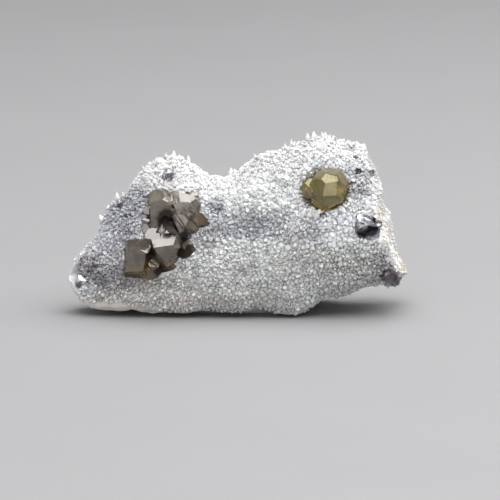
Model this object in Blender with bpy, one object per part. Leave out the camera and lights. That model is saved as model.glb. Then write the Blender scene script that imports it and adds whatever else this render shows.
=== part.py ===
"""Sphalerite with quartz: a hand specimen of minerals, standing on its own broken underside.

A plate of massive quartz carries a crust of quartz points. A group of brown sphalerite crystals,
one yellow sphalerite crystal and several galena crystals sit in the crust. Lengths are in
millimetres while a shape is worked out, and in metres in the meshes. The front looks along -Y,
+X is to the right and +Z is up.
"""
import math
import random

import bmesh
import bpy
import numpy as np
from mathutils import Euler, Vector, noise
from mathutils.bvhtree import BVHTree

MM = 0.001

# Driving dimensions, in millimetres. Places on the front are given as they are seen by someone who
# looks at the front from a little above: across, to the right of the middle, and up, over the table.
VIEW_TILT = math.radians(9.5)
GAP = 0.3
STATION_STEP = 2.6
LEFT_END = -50.2
RIGHT_END = 55.0

# The upper edge and the lower edge of the plate without its crystals: across and up.
CREST_LINE = (
    (-50.0, 11.6), (-48.2, 14.2), (-45.0, 18.6), (-42.0, 22.0), (-40.4, 25.4), (-38.4, 29.6),
    (-35.6, 33.0), (-31.6, 35.6), (-29.8, 39.4), (-26.4, 43.6), (-22.8, 45.6), (-18.0, 45.9),
    (-14.6, 44.4), (-11.8, 42.0), (-8.4, 40.6), (-4.0, 39.2), (-0.8, 40.4), (2.6, 43.4), (6.0, 46.0),
    (10.2, 47.2), (15.0, 49.0), (19.6, 50.8), (23.0, 52.4), (26.0, 52.8), (29.4, 51.4), (33.0, 50.0),
    (38.0, 49.2), (44.0, 47.8), (55.0, 45.0),
)
RIM_LINE = (
    (-50.0, 8.4), (-48.4, 5.2), (-46.0, 2.4), (-43.8, 0.6), (-39.2, 0.0), (-35.0, -0.3), (-31.4, 0.3),
    (-25.0, -1.1), (-21.0, 0.2), (-15.0, -1.1), (-11.0, -0.5), (-1.0, -0.1), (6.2, 0.7), (13.0, -1.3),
    (17.0, -1.0), (20.8, 0.4), (23.8, 2.6), (27.0, 4.4), (31.2, 4.6), (34.4, 5.8), (38.6, 7.4),
    (43.2, 8.0), (48.4, 7.6), (55.0, 8.4),
)
# How far the plate reaches to the front and to the back, and where its upper edge runs.
FRONT_REACH = ((-50.0, -5.5), (-46.0, -9.5), (-38.0, -12.5), (-28.0, -14.5), (-10.0, -15.5), (10.0, -16.0),
               (28.0, -15.5), (40.0, -14.0), (48.0, -12.0), (55.0, -10.5))
BACK_REACH = ((-50.0, 1.0), (-46.0, 6.0), (-38.0, 12.0), (-25.0, 16.5), (-5.0, 18.5), (20.0, 18.5),
              (35.0, 17.5), (45.0, 16.0), (55.0, 14.0))
CREST_DEPTH = ((-50.0, -2.0), (-46.0, -1.0), (-38.0, 1.0), (-28.0, 3.0), (-18.0, 4.5), (-4.0, 6.0),
               (10.0, 6.0), (25.0, 7.0), (40.0, 7.0), (55.0, 6.0))
# The height of the underside behind the lower edge: it rests between the two middle values.
UNDERSIDE = ((-50.0, 9.0), (-46.0, 4.4), (-38.0, 1.6), (-25.0, -0.6), (17.0, -0.6), (24.0, 2.4),
             (34.0, 6.0), (44.0, 8.6), (55.0, 9.6))
# The part of the underside that it rests on: from left to right, and from front to back.
REST_FLAT = (-24.0, 16.0, -4.5, 13.6)
LEAST_RIM_HEIGHT = 0.4

# Outlines across the plate: share of the height, and share of the way to the upper edge's depth.
FRONT_PROFILE = ((0.0, 0.20), (0.05, 0.09), (0.13, 0.02), (0.26, 0.0), (0.38, 0.03), (0.5, 0.12),
                 (0.62, 0.25), (0.74, 0.41), (0.85, 0.60), (0.94, 0.82), (1.0, 1.0))
BACK_PROFILE = ((0.97, 0.72), (0.88, 0.46), (0.72, 0.28), (0.5, 0.14), (0.28, 0.03), (0.12, 0.0),
                (0.03, 0.08))
# The underside as shares of the way from back to front, and where it starts and ends.
UNDER_SHARES = (0.12, 0.3, 0.5, 0.72, 0.88)
UNDER_FROM = 0.9
UNDER_TO = 0.72
UNDER_LEAN = 0.4
# How many points of each outline are crusted, and how many are on the bare back. The crust also
# covers the first ones behind the upper edge.
CRUST_ROWS = 26
BACK_ROWS = 7
CRUSTED_BEHIND = 2
# The lumps of the surface: how fine they are and how high, broad ones and fine ones.
BROAD_LUMPS = (0.11, 0.9, 1.4)
FINE_LUMPS = (0.31, 0.5)
BACK_LUMPS = (0.2, 0.7)
BACK_SINK = 0.8
UNDER_LUMPS = (0.23, 0.5)
# The crusted lattice, in shares of a cell: sideways scatter, rise of a tip, and depth of a furrow.
CELL_SHARE = 0.5
CELL_SCATTER = 0.13
STATION_SCATTER = 0.5
TIP_RISE = (0.62, 0.5)
FURROW_DEPTH = 0.15
# The smooth rim under the crust at the left: its height, and how wide its upper border is.
RIM_HEIGHT = 3.0
RIM_SLOPE = 0.05
RIM_BORDER = 3.0
RIM_END = 20.0
# The broken back: how many steps its ledges have each way, and how high they are together.
LEDGE_COUNT = 3
LEDGE_HEIGHT = 4.2

# The broken right side: across and up, from the top down. It turns a little towards the front.
BREAK_LINE = ((36.9, 62.0), (38.6, 47.6), (40.8, 41.8), (42.8, 35.4), (44.2, 28.8), (45.8, 21.4),
              (47.2, 17.0), (49.4, 14.0), (51.0, 10.8), (50.2, 7.4), (48.6, 4.0), (47.4, -8.0))
BREAK_TURN = 0.13
BREAK_PIVOT = 9.0
BREAK_ROUGHNESS = 1.1
BREAK_LEDGE = 2.0
BREAK_BORDER = 1.5
# The block that cuts the right side: first value, step and number of its points, and its far side.
CUTTER_DEPTHS = (-40.0, 5.0, 17)
CUTTER_UPS = (66.0, -3.5, 23)
CUTTER_FAR = 80.0

# Quartz points: the spacing, the width and the length that stands out of the plate.
POINT_SPACING = 11.0
POINT_WIDTH = (2.6, 4.0)
POINT_LENGTH = (1.8, 3.0)
EDGE_POINT_SPACING = 5.3
EDGE_POINT_WIDTH = (1.5, 2.5)
EDGE_POINT_LENGTH = (2.4, 3.9)
POINT_SINK = 2.2
POINT_TRIES = 6000
EDGE_POINT_TRIES = 2500
END_POINT_TRIES = 900
LEFT_POINT_LENGTH = (1.4, 2.4)
HANGING_POINT_WIDTH = (1.8, 2.9)
HANGING_POINT_LENGTH = (1.4, 2.5)
# Where the largest points stand, across and up, and how much larger they are.
LARGE_POINTS = (20.0, 38.0, 20.0, 38.0)
LARGE_POINT_GROWTH = 1.2
# How far outside the specimen a line starts that looks for its surface.
LOOK_FROM = 120.0
# The tips of the tallest points along the upper edge: across and up.
TALL_TIPS = ((-41.2, 28.6), (-38.8, 31.6), (-33.8, 35.9), (-28.4, 43.3), (-21.0, 47.4), (-18.6, 48.4),
             (-14.5, 46.8), (-1.9, 43.1), (5.1, 47.2), (9.4, 48.1), (15.8, 51.3), (22.8, 54.0), (26.0, 53.6))
BARE_BAND = 3.2


def along(table, x):
    """The value of an outline at x, on straight lines between its points."""
    return float(np.interp(x, [p[0] for p in table], [p[1] for p in table]))


def height_of(up, depth):
    """The height of a point at a depth that is seen at a height up from the front."""
    return (up - depth * math.sin(VIEW_TILT)) / math.cos(VIEW_TILT)


def seen_up(point):
    """How high a point is seen from the front."""
    return point.z * math.cos(VIEW_TILT) + point.y * math.sin(VIEW_TILT)


def ends_at(x):
    """The reach to the front and back, the depth of the upper edge and the two heights at x."""
    front, back, crest = along(FRONT_REACH, x), along(BACK_REACH, x), along(CREST_DEPTH, x)
    top = height_of(along(CREST_LINE, x), crest)
    low = max(height_of(along(RIM_LINE, x), front * 0.8), LEAST_RIM_HEIGHT)
    return front, back, crest, low, top


def roughness_at(point, back):
    """The lumps of the plate: gentle on the front, ledged and sharp on the broken back."""
    scale, front_height, back_height = BROAD_LUMPS
    broad = noise.noise(point * scale)
    if not back:
        fine = noise.noise(point * FINE_LUMPS[0] + Vector((7.0, 3.0, 5.0)))
        return front_height * broad + FINE_LUMPS[1] * fine
    stretched = Vector((point.x * 0.09, point.y * 0.05, point.z * 0.1)) + Vector((3.0, 9.0, 1.0))
    ledge = round(noise.noise(stretched) * LEDGE_COUNT) / LEDGE_COUNT
    return LEDGE_HEIGHT * ledge + back_height * broad + BACK_LUMPS[1] * noise.noise(point * BACK_LUMPS[0])


def outline_at(x):
    """The smooth outline across the plate at x: up the front, over the edge, down the back and under."""
    front, back, crest, low, top = ends_at(x)
    base = along(UNDERSIDE, x)
    face = [Vector((x, front + (crest - front) * way, low + (top - low) * share))
            for share, way in FRONT_PROFILE]
    rear = [Vector((x, back + (crest - back) * way, base + (top - base) * share))
            for share, way in BACK_PROFILE]
    crusted = evenly(face + rear[:CRUSTED_BEHIND], CRUST_ROWS)
    bare = evenly([crusted[-1]] + rear[CRUSTED_BEHIND:], BACK_ROWS + 1)[1:]
    under = []
    for share in UNDER_SHARES:
        depth = back * UNDER_FROM + (front * UNDER_TO - back * UNDER_FROM) * share
        lean = min(1.0, max(0.0, (share - UNDER_LEAN) / UNDER_LEAN))
        under.append(Vector((x, depth, base + (low - base) * lean)))
    return crusted + bare + under


def evenly(points, count):
    """Points at even distances along a line through the given ones."""
    reached = [0.0]
    for a, b in zip(points, points[1:]):
        reached.append(reached[-1] + (b - a).length)
    places = [reached[-1] * i / (count - 1) for i in range(count)]
    columns = [np.interp(places, reached, [p[axis] for p in points]) for axis in range(3)]
    return [Vector(p) for p in zip(*columns)]


def crust_height(point, across_edge):
    """How strongly the crust stands out at a point: none on the smooth rim and by the broken side."""
    rim = min(1.0, max(0.0, (point.z - RIM_HEIGHT - RIM_SLOPE * max(0.0, -point.x)) / RIM_BORDER))
    if point.x > RIM_END:
        rim = 1.0
    side = min(1.0, max(0.0, (across_edge - BARE_BAND - point.x) / BREAK_BORDER))
    return rim * side


def lumpy_lattice(rings):
    """Turns the even outlines into the real surface: quartz points in front, broken rock behind.

    The outlines form a lattice of triangles. Every third corner of it is the tip of a quartz point,
    and the six corners round it are the furrows between that point and its neighbours.
    """
    draw = random.Random(5)
    count, size = len(rings), len(rings[0])
    surface = []
    for i, ring in enumerate(rings):
        row = []
        for j, point in enumerate(ring):
            along_x = rings[min(i + 1, count - 1)][j] - rings[max(i - 1, 0)][j]
            along_ring = ring[(j + 1) % size] - ring[j - 1]
            normal = along_ring.cross(along_x).normalized()
            cell = along_ring.length * CELL_SHARE
            shift_x, shift_ring, lift = draw.uniform(-1, 1), draw.uniform(-1, 1), draw.uniform(0, 1)
            crusted = 0 < i < count - 1 and 0 < j < CRUST_ROWS
            under = j >= CRUST_ROWS + BACK_ROWS
            if crusted:
                strength = crust_height(point, break_across(point.y, seen_up(point)))
                moved = point + along_ring * (CELL_SCATTER * shift_ring)
                moved += Vector((STATION_SCATTER * shift_x, 0.0, 0.0))
                moved += normal * (roughness_at(point, False) * min(1.0, cell / 2.0))
                if (i - j) % 3 == 0:
                    moved += normal * (cell * (TIP_RISE[0] + TIP_RISE[1] * lift) * strength)
                else:
                    moved -= normal * (cell * FURROW_DEPTH * lift * strength)
            elif under:
                lump = UNDER_LUMPS[1] * noise.noise(point * UNDER_LUMPS[0])
                moved = point + Vector((0.0, 0.0, lump))
            else:
                fade = min(1.0, (ring[0] - ring[CRUST_ROWS]).length / 30.0)
                moved = point + normal * ((roughness_at(point, True) - BACK_SINK) * fade)
            moved.z = max(moved.z, 0.0)
            flat_x0, flat_x1, flat_y0, flat_y1 = REST_FLAT
            if under and flat_x0 <= point.x <= flat_x1 and flat_y0 <= point.y <= flat_y1:
                moved.z = 0.0
            row.append(moved)
        surface.append(row)
    return surface


def mesh_object(name, verts, faces):
    """A mesh object from points in millimetres."""
    mesh = bpy.data.meshes.new(name)
    mesh.from_pydata([tuple(Vector(v) * MM) for v in verts], [], faces)
    mesh.validate()
    thing = bpy.data.objects.new(name, mesh)
    bpy.context.scene.collection.objects.link(thing)
    return thing


def face_outwards(thing):
    """Turns all faces of a closed mesh outwards and splits them into triangles."""
    bm = bmesh.new()
    bm.from_mesh(thing.data)
    bmesh.ops.recalc_face_normals(bm, faces=bm.faces)
    bmesh.ops.triangulate(bm, faces=bm.faces)
    bm.to_mesh(thing.data)
    bm.free()


def plate():
    """The quartz of the plate and its crust: outlines across it, joined from end to end."""
    count = round((RIGHT_END - LEFT_END) / STATION_STEP)
    rings = [outline_at(LEFT_END + (RIGHT_END - LEFT_END) * i / count) for i in range(count + 1)]
    rings = lumpy_lattice(rings)
    size = len(rings[0])
    verts = [point for ring in rings for point in ring]
    faces = []
    for i in range(count):
        for j in range(size):
            k = (j + 1) % size
            a, b, c, d = i * size + j, (i + 1) * size + j, (i + 1) * size + k, i * size + k
            faces += [(a, b, d), (b, c, d)]
    faces.append(tuple(range(size)))
    faces.append(tuple(count * size + j for j in reversed(range(size))))
    thing = mesh_object("quartz_matrix", verts, faces)
    face_outwards(thing)
    return thing


def break_across(depth, up):
    """Where the broken right side is at a depth and a height as seen from the front."""
    xs = [p[0] for p in reversed(BREAK_LINE)]
    ups = [p[1] for p in reversed(BREAK_LINE)]
    return float(np.interp(up, ups, xs)) + BREAK_TURN * (depth - BREAK_PIVOT)


def break_cutter():
    """A block whose left face is the broken right side."""
    depths = [CUTTER_DEPTHS[0] + CUTTER_DEPTHS[1] * i for i in range(CUTTER_DEPTHS[2])]
    ups = [CUTTER_UPS[0] + CUTTER_UPS[1] * i for i in range(CUTTER_UPS[2])]
    verts, faces = [], []
    for depth in depths:
        for up in ups:
            across = break_across(depth, up)
            across += BREAK_ROUGHNESS * noise.noise(Vector((depth, up, 2.0)) * 0.21)
            ledge = noise.noise(Vector((depth * 0.08, up * 0.06, 6.0)))
            across += BREAK_LEDGE * round(ledge * LEDGE_COUNT) / LEDGE_COUNT
            verts.append((across, depth, height_of(up, depth)))
    rows, columns = len(depths), len(ups)
    far = len(verts)
    for depth in depths:
        for up in ups:
            verts.append((CUTTER_FAR, depth, height_of(up, depth)))
    for i in range(rows - 1):
        for j in range(columns - 1):
            a, b = i * columns + j, (i + 1) * columns + j
            faces.append((a, a + 1, b + 1, b))
            faces.append((far + a, far + b, far + b + 1, far + a + 1))
    for i in range(rows - 1):
        for j in (0, columns - 1):
            a, b = i * columns + j, (i + 1) * columns + j
            faces.append((a, b, far + b, far + a))
    for j in range(columns - 1):
        for i in (0, rows - 1):
            a = i * columns + j
            faces.append((a, far + a, far + a + 1, a + 1))
    thing = mesh_object("break_cutter", verts, faces)
    face_outwards(thing)
    return thing


def apply_boolean(thing, other, operation, itself=False):
    """Joins another mesh to a thing, or cuts it out, with the exact solver, and drops the other."""
    modifier = thing.modifiers.new("boolean", "BOOLEAN")
    modifier.operation = operation
    modifier.solver = "EXACT"
    modifier.use_self = itself
    modifier.object = other
    evaluated = thing.evaluated_get(bpy.context.evaluated_depsgraph_get())
    mesh = bpy.data.meshes.new_from_object(evaluated)
    thing.modifiers.clear()
    old = thing.data
    thing.data = mesh
    bpy.data.meshes.remove(old)
    bpy.data.objects.remove(other)


def keep_largest_body(thing):
    """Keeps the body of a cut mesh, without the chips and closed hollows that a cut leaves."""
    bm = bmesh.new()
    bm.from_mesh(thing.data)
    unseen = set(bm.faces)
    bodies = []
    while unseen:
        body, queue = set(), [unseen.pop()]
        while queue:
            face = queue.pop()
            body.add(face)
            for edge in face.edges:
                if len(edge.link_faces) != 2:
                    continue
                for other in edge.link_faces:
                    if other in unseen:
                        unseen.discard(other)
                        queue.append(other)
        bodies.append(body)
    largest = max(bodies, key=len)
    bmesh.ops.delete(bm, geom=[f for f in bm.faces if f not in largest], context="FACES")
    bmesh.ops.triangulate(bm, faces=bm.faces)
    bmesh.ops.recalc_face_normals(bm, faces=bm.faces)
    bm.to_mesh(thing.data)
    bm.free()


def quartz_point(foot, axis, width, length, tip, twist):
    """A six-sided quartz point: a prism that is sunk in the plate, and a pyramid on it."""
    turn = axis.to_track_quat("Z", "Y").to_matrix()
    bottom, shoulder, top = [], [], foot + axis * length
    for i in range(6):
        angle = twist + math.tau * i / 6
        around = turn @ Vector((math.cos(angle), math.sin(angle), 0.0)) * (width / 2)
        bottom.append(foot - axis * POINT_SINK + around * 0.9)
        shoulder.append(foot + axis * (length - tip) + around)
    verts = bottom + shoulder + [top]
    faces = [tuple(reversed(range(6)))]
    faces += [(i, (i + 1) % 6, 6 + (i + 1) % 6, 6 + i) for i in range(6)]
    faces += [(6 + i, 6 + (i + 1) % 6, 12) for i in range(6)]
    return verts, faces


class Crust:
    """The quartz points of the crust, gathered in one list before they are joined to the plate."""

    def __init__(self, carrier, keep_clear):
        self.tree = BVHTree.FromObject(carrier, bpy.context.evaluated_depsgraph_get())
        self.keep_clear = keep_clear
        self.draw = random.Random(11)
        self.feet = []
        self.verts = []
        self.faces = []

    def on_front(self, across, up):
        """The point of the front face that is seen there, and its normal."""
        view = Vector((0.0, math.cos(VIEW_TILT), -math.sin(VIEW_TILT)))
        start = Vector((across, 0.0, height_of(up, 0.0))) - view * LOOK_FROM
        hit, normal, _, _ = self.tree.ray_cast(start * MM, view)
        if hit is None:
            return None, None
        return hit / MM, normal

    def is_clear(self, foot, spacing):
        """Whether a foot keeps its distance to the other points and to the other minerals."""
        if any((foot - other).length < spacing for other in self.feet):
            return False
        return all((foot - middle).length > radius for middle, radius in self.keep_clear)

    def add(self, foot, normal, width, length, lean):
        """Adds one quartz point that leans a little away from the face's normal."""
        sideways = Vector((self.draw.uniform(-1, 1), self.draw.uniform(-1, 1), self.draw.uniform(-1, 1)))
        self.stand(foot, (normal + sideways * lean + Vector((0.0, 0.0, 0.12))).normalized(), width, length)

    def stand(self, foot, axis, width, length):
        """Adds one quartz point on its axis."""
        tip = min(length * 0.75, width * self.draw.uniform(0.55, 0.8))
        verts, faces = quartz_point(foot, axis, width, length, tip, self.draw.uniform(0, 1))
        start = len(self.verts)
        self.verts += verts
        self.faces += [tuple(start + i for i in face) for face in faces]
        self.feet.append(foot)

    def cover_front(self):
        """Spreads short wide points over the front face."""
        left, right, low, high = LARGE_POINTS
        for _ in range(POINT_TRIES):
            across = self.draw.uniform(-49.0, 50.0)
            up = self.draw.uniform(-2.0, 53.0)
            foot, normal = self.on_front(across, up)
            if foot is None or normal.y > -0.1:
                continue
            if across > break_across(foot.y, up) - BARE_BAND:
                continue
            smooth_rim = foot.x < 20.0 and foot.z < 4.5 + 0.06 * max(0.0, -foot.x)
            if smooth_rim or not self.is_clear(foot, POINT_SPACING):
                continue
            width = self.draw.uniform(*POINT_WIDTH)
            if left < foot.x < right and low < foot.z < high:
                width *= LARGE_POINT_GROWTH
            self.add(foot, normal, width, self.draw.uniform(*POINT_LENGTH), 0.35)

    def raise_tall_tips(self):
        """Stands the tallest points so that their tips show where they should from the front."""
        for across, up in TALL_TIPS:
            depth = along(CREST_DEPTH, across)
            tip = Vector((across, depth, height_of(up, depth)))
            foot, _, _, _ = self.tree.ray_cast((tip + Vector((0.0, 0.0, 6.0))) * MM, Vector((0.0, 0.0, -1.0)))
            if foot is None:
                continue
            axis = (Vector((self.draw.uniform(-0.2, 0.2), self.draw.uniform(-0.2, 0.2), 1.0))).normalized()
            length = max(1.5, tip.z - foot.z / MM)
            width = self.draw.uniform(*EDGE_POINT_WIDTH)
            self.stand(tip - axis * length, axis, width, length)

    def cover_edge(self):
        """Stands slender points along the upper edge and behind it."""
        for _ in range(EDGE_POINT_TRIES):
            x = self.draw.uniform(-49.0, 40.0)
            _, _, crest, _, top = ends_at(x)
            depth = crest + self.draw.uniform(-4.0, 4.5)
            start = Vector((x, depth, top + 20.0))
            foot, normal, _, _ = self.tree.ray_cast(start * MM, Vector((0.0, 0.0, -1.0)))
            if foot is None or normal.z < 0.25:
                continue
            foot = foot / MM
            if foot.x > break_across(foot.y, seen_up(foot)) - BARE_BAND * 0.6:
                continue
            if not self.is_clear(foot, EDGE_POINT_SPACING):
                continue
            width = self.draw.uniform(*EDGE_POINT_WIDTH)
            self.add(foot, normal, width, self.draw.uniform(*EDGE_POINT_LENGTH), 0.3)

    def cover_left_end(self):
        """Stands points on the outline of the left end, where the plate narrows to its tip."""
        for _ in range(END_POINT_TRIES):
            x = self.draw.uniform(-50.0, -34.0)
            start = Vector((x - 30.0, self.draw.uniform(-8.0, 6.0), self.draw.uniform(10.0, 36.0)))
            foot, normal, _, _ = self.tree.ray_cast(start * MM, Vector((1.0, 0.0, 0.0)))
            if foot is None or normal.x > -0.2:
                continue
            foot = foot / MM
            if foot.x < LEFT_END + 2.2 or not self.is_clear(foot, EDGE_POINT_SPACING):
                continue
            width = self.draw.uniform(*EDGE_POINT_WIDTH)
            self.add(foot, normal, width, self.draw.uniform(*LEFT_POINT_LENGTH), 0.35)

    def cover_lower_right(self):
        """Hangs stubby points from the raised lower edge at the right."""
        for _ in range(END_POINT_TRIES):
            x = self.draw.uniform(19.0, 48.0)
            start = Vector((x, self.draw.uniform(-14.0, -3.0), -30.0))
            foot, normal, _, _ = self.tree.ray_cast(start * MM, Vector((0.0, 0.0, 1.0)))
            if foot is None or normal.z > -0.1:
                continue
            foot = foot / MM
            if not self.is_clear(foot, EDGE_POINT_SPACING):
                continue
            down = (normal + Vector((0.0, -0.7, -0.2))).normalized()
            width = self.draw.uniform(*HANGING_POINT_WIDTH)
            self.add(foot, down, width, self.draw.uniform(*HANGING_POINT_LENGTH), 0.3)

    def make(self):
        """The object that holds all the points."""
        self.raise_tall_tips()
        self.cover_edge()
        self.cover_left_end()
        self.cover_lower_right()
        self.cover_front()
        return mesh_object("quartz_points", self.verts, self.faces)


def direction(turn, rise):
    """A direction by how far it turns from the front to the right and how far it rises."""
    t, r = math.radians(turn), math.radians(rise)
    return Vector((math.sin(t) * math.cos(r), -math.cos(t) * math.cos(r), math.sin(r)))


def sphalerite_faces(radius, squash, tilt):
    """The faces of a sphalerite crystal: twelve of a dodecahedron, four plus four of tetrahedra."""
    turn = Euler([math.radians(a) for a in tilt]).to_matrix()
    faces = []
    for a, b in ((0, 1), (0, 2), (1, 2)):
        for s in (-1, 1):
            for t in (-1, 1):
                normal = Vector((0.0, 0.0, 0.0))
                normal[a], normal[b] = s, t
                faces.append((turn @ normal.normalized(), radius))
    for s in (-1, 1):
        for t in (-1, 1):
            faces.append((turn @ Vector((s, t, s * t)).normalized(), radius * squash))
            faces.append((turn @ Vector((s, t, -s * t)).normalized(), radius * 1.12))
    return faces


def cube_faces(half_sides, corner, tilt):
    """The faces of a galena crystal: a cube, with its corners cut by an octahedron if it is large."""
    turn = Euler([math.radians(a) for a in tilt]).to_matrix()
    faces = []
    for axis in range(3):
        for side in (-1, 1):
            normal = Vector((0.0, 0.0, 0.0))
            normal[axis] = side
            faces.append((turn @ normal, half_sides[axis]))
    if corner is None:
        return faces
    reach = Vector(half_sides).length
    for s in (-1, 1):
        for t in (-1, 1):
            for u in (-1, 1):
                faces.append((turn @ Vector((s, t, u)).normalized(), reach * corner))
    return faces


def cut_crystal(name, middle, faces, grow=0.0):
    """A crystal as the space inside its faces, each a direction and a distance from the middle."""
    bm = bmesh.new()
    bmesh.ops.create_cube(bm, size=6.0 * max(distance for _, distance in faces))
    for normal, distance in faces:
        geometry = bm.verts[:] + bm.edges[:] + bm.faces[:]
        cut = bmesh.ops.bisect_plane(bm, geom=geometry, dist=1e-5, plane_co=normal * (distance + grow),
                                     plane_no=normal, clear_outer=True)
        edges = [e for e in cut["geom_cut"] if isinstance(e, bmesh.types.BMEdge)]
        if edges:
            bmesh.ops.edgeloop_fill(bm, edges=edges)
    bmesh.ops.remove_doubles(bm, verts=bm.verts, dist=0.02)
    bmesh.ops.dissolve_degenerate(bm, edges=bm.edges, dist=0.02)
    bmesh.ops.recalc_face_normals(bm, faces=bm.faces)
    verts = [Vector(v.co) + middle for v in bm.verts]
    index = {v: i for i, v in enumerate(bm.verts)}
    polygons = [tuple(index[v] for v in f.verts) for f in bm.faces]
    bm.free()
    return mesh_object(name, verts, polygons)


# The brown sphalerite group. Each crystal has its place as seen from the front, how far its middle
# stands out of the quartz, its radius, the share of the tetrahedron, its tilt, and the big faces of
# its own: turn to the right, rise, and distance from the middle.
BROWN_CRYSTALS = (
    ("upper_left", (-22.2, 29.2), 0.4, 6.4, 0.94, (12, 38, 20),
     ((-17, 2, 3.9), (-40, 56, 5.4), (70, 48, 5.2), (66, 8, 4.1), (30, -46, 4.2), (-80, 0, 3.8))),
    ("upper_right", (-16.0, 30.6), 0.2, 4.7, 0.9, (52, -18, 40),
     ((10, 8, 3.5), (20, 62, 3.5), (-34, 56, 3.9), (52, 10, 3.8), (-60, -20, 3.6))),
    ("lens", (-15.8, 26.3), 1.5, 4.3, 0.92, (24, 30, -14),
     ((-16, 12, 3.0), (38, -14, 3.2), (62, 6, 3.5), (-10, 70, 2.9), (-66, -20, 3.4))),
    ("amber_side", (-11.6, 26.4), -0.6, 2.9, 0.9, (40, 12, 8), ((38, 10, 2.2), (20, -36, 2.2))),
    ("top_small", (-19.4, 33.5), -0.6, 2.3, 0.9, (18, 50, 30), ((14, 40, 1.6), (-30, 20, 1.8))),
    ("star", (-13.8, 33.7), -0.6, 2.2, 0.86, (30, 10, 62), ((26, 62, 1.4), (30, 12, 1.6))),
    ("shelf", (-20.7, 23.9), 2.5, 2.6, 0.9, (8, 24, 45), ((-8, 20, 1.3), (0, 78, 1.2), (0, -40, 1.5))),
    ("left_upper", (-26.4, 29.6), 0.2, 1.5, 0.9, (20, 65, 12), ((-20, 14, 1.1),)),
    ("left_middle", (-26.7, 26.7), 0.1, 1.4, 0.9, (50, 20, 20), ((-14, 50, 0.9), (-30, 0, 1.1))),
    ("left_lower", (-26.8, 24.2), 0.5, 1.7, 0.9, (15, 30, 70), ((-18, 14, 1.2),)),
    ("lower_left", (-29.6, 15.9), 1.2, 5.7, 0.94, (28, 8, 16),
     ((-16, 2, 3.8), (-40, 54, 5.1), (58, -10, 4.2), (-6, -54, 4.7), (-78, 8, 3.7))),
    ("main_lower", (-21.8, 19.7), 2.6, 5.6, 0.94, (40, 16, 6),
     ((4, -8, 3.8), (-10, 58, 3.3), (-72, 8, 4.5), (58, -26, 3.8), (62, 20, 4.4), (-44, -34, 4.0))),
    ("blue_top", (-25.4, 20.9), 2.3, 2.8, 0.9, (12, 40, 60), ((-12, 47, 1.5), (-20, 4, 2.1))),
    ("glint", (-27.8, 19.6), 4.6, 1.8, 0.9, (22, 48, 5), ((-6, 44, 0.9), (-30, 0, 1.4))),
    ("gap_upper", (-25.8, 17.2), 1.3, 1.9, 0.9, (62, 10, 34), ((34, 6, 1.2), (-24, 30, 1.4))),
    ("gap_lower", (-24.8, 15.4), 3.4, 1.6, 0.9, (10, 20, 52), ((8, 38, 0.7), (4, -30, 1.3))),
    ("right_striped", (-15.3, 18.3), 0.2, 2.6, 0.92, (16, 8, 28), ((30, 2, 2.0), (-26, -6, 2.2))),
    ("amber_foot", (-25.2, 12.9), -1.4, 3.5, 0.92, (34, 20, 12), ((6, -28, 2.9), (-50, 32, 2.6))),
    ("amber_toe", (-20.6, 13.9), -1.0, 2.9, 0.92, (12, 46, 22), ((12, -30, 2.3), (54, 28, 2.2))),
)

# The blocks that the brown crystals grow from: place, how far out, half sides and tilt.
BROWN_BASES = (
    ((-17.8, 28.2), -3.0, (4.4, 4.6, 4.2), (8, 12, 24)),
    ((-18.8, 22.4), -2.2, (3.4, 4.0, 3.6), (14, 8, 38)),
    ((-22.6, 17.4), -2.6, (4.6, 4.2, 3.4), (10, 14, 12)),
)
# The dark hollow between the upper crystals, as a crystal that is cut out of them.
BROWN_HOLLOW = ("hollow", (-21.4, 26.0), 4.8, 3.1, 0.9, (20, 35, 15), ((0, -70, 1.7), (-60, 40, 2.0)))

YELLOW_CRYSTALS = (
    ("body", (27.7, 36.2), 1.2, 5.5, 0.98, (14, 26, 40),
     ((4, 8, 4.75), (-34, 14, 4.85), (40, 6, 4.95), (-4, 44, 5.0), (8, -34, 4.85), (-60, -14, 5.2),
      (62, 34, 5.2), (-34, -36, 5.1), (36, -34, 5.15), (-44, 52, 5.25), (70, -8, 5.2), (20, 70, 5.2))),
    ("lobe", (22.4, 36.0), 0.8, 2.9, 0.98, (30, 12, 8),
     ((-34, 10, 2.4), (-20, -34, 2.5), (-16, 40, 2.5), (-70, 0, 2.5))),
)

# Galena: name, place as seen from the front, how far its middle stands out, half sides, how much of
# the corners stays, and tilt.
GALENA_CRYSTALS = (
    ("galena_right", (
        ((38.9, 24.6), 0.5, (3.4, 2.5, 2.5), 0.78, (24, 12, 14)),
        ((41.1, 26.2), 0.1, (1.6, 1.5, 1.2), 0.8, (12, 30, 40)),
        ((36.6, 26.6), -0.1, (1.5, 1.5, 1.5), 0.8, (40, 20, 10)),
    )),
    ("galena_lower_right", (
        ((46.2, 10.2), 0.1, (2.4, 2.0, 1.9), 0.76, (20, 34, 8)),
        ((44.5, 11.0), 0.0, (1.5, 1.5, 1.4), 0.8, (36, 8, 30)),
    )),
    ("galena_upper_left", (
        ((-20.4, 40.3), 0.9, (1.5, 1.5, 2.1), 0.8, (18, 24, 20)),
    )),
    ("galena_left_end", (
        ((-46.3, 8.6), 0.1, (1.5, 1.4, 1.6), 0.82, (30, 14, 16)),
    )),
)
GRAINS = (
    ((36.2, 41.4), 0.85), ((34.5, 38.4), 0.75), ((40.0, 41.2), 0.85), ((35.7, 45.7), 0.7),
    ((23.6, 43.4), 0.65), ((-34.8, 31.3), 0.8), ((-32.4, 28.4), 0.8), ((25.6, 28.0), 0.9),
    ((-5.3, 30.0), 0.8), ((26.2, 8.0), 0.8),
)


def front_of(normal):
    """The way a crystal stands out of the quartz: between the quartz's normal and the front."""
    return (normal + Vector((0.0, -1.0, 0.0))).normalized()


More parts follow.
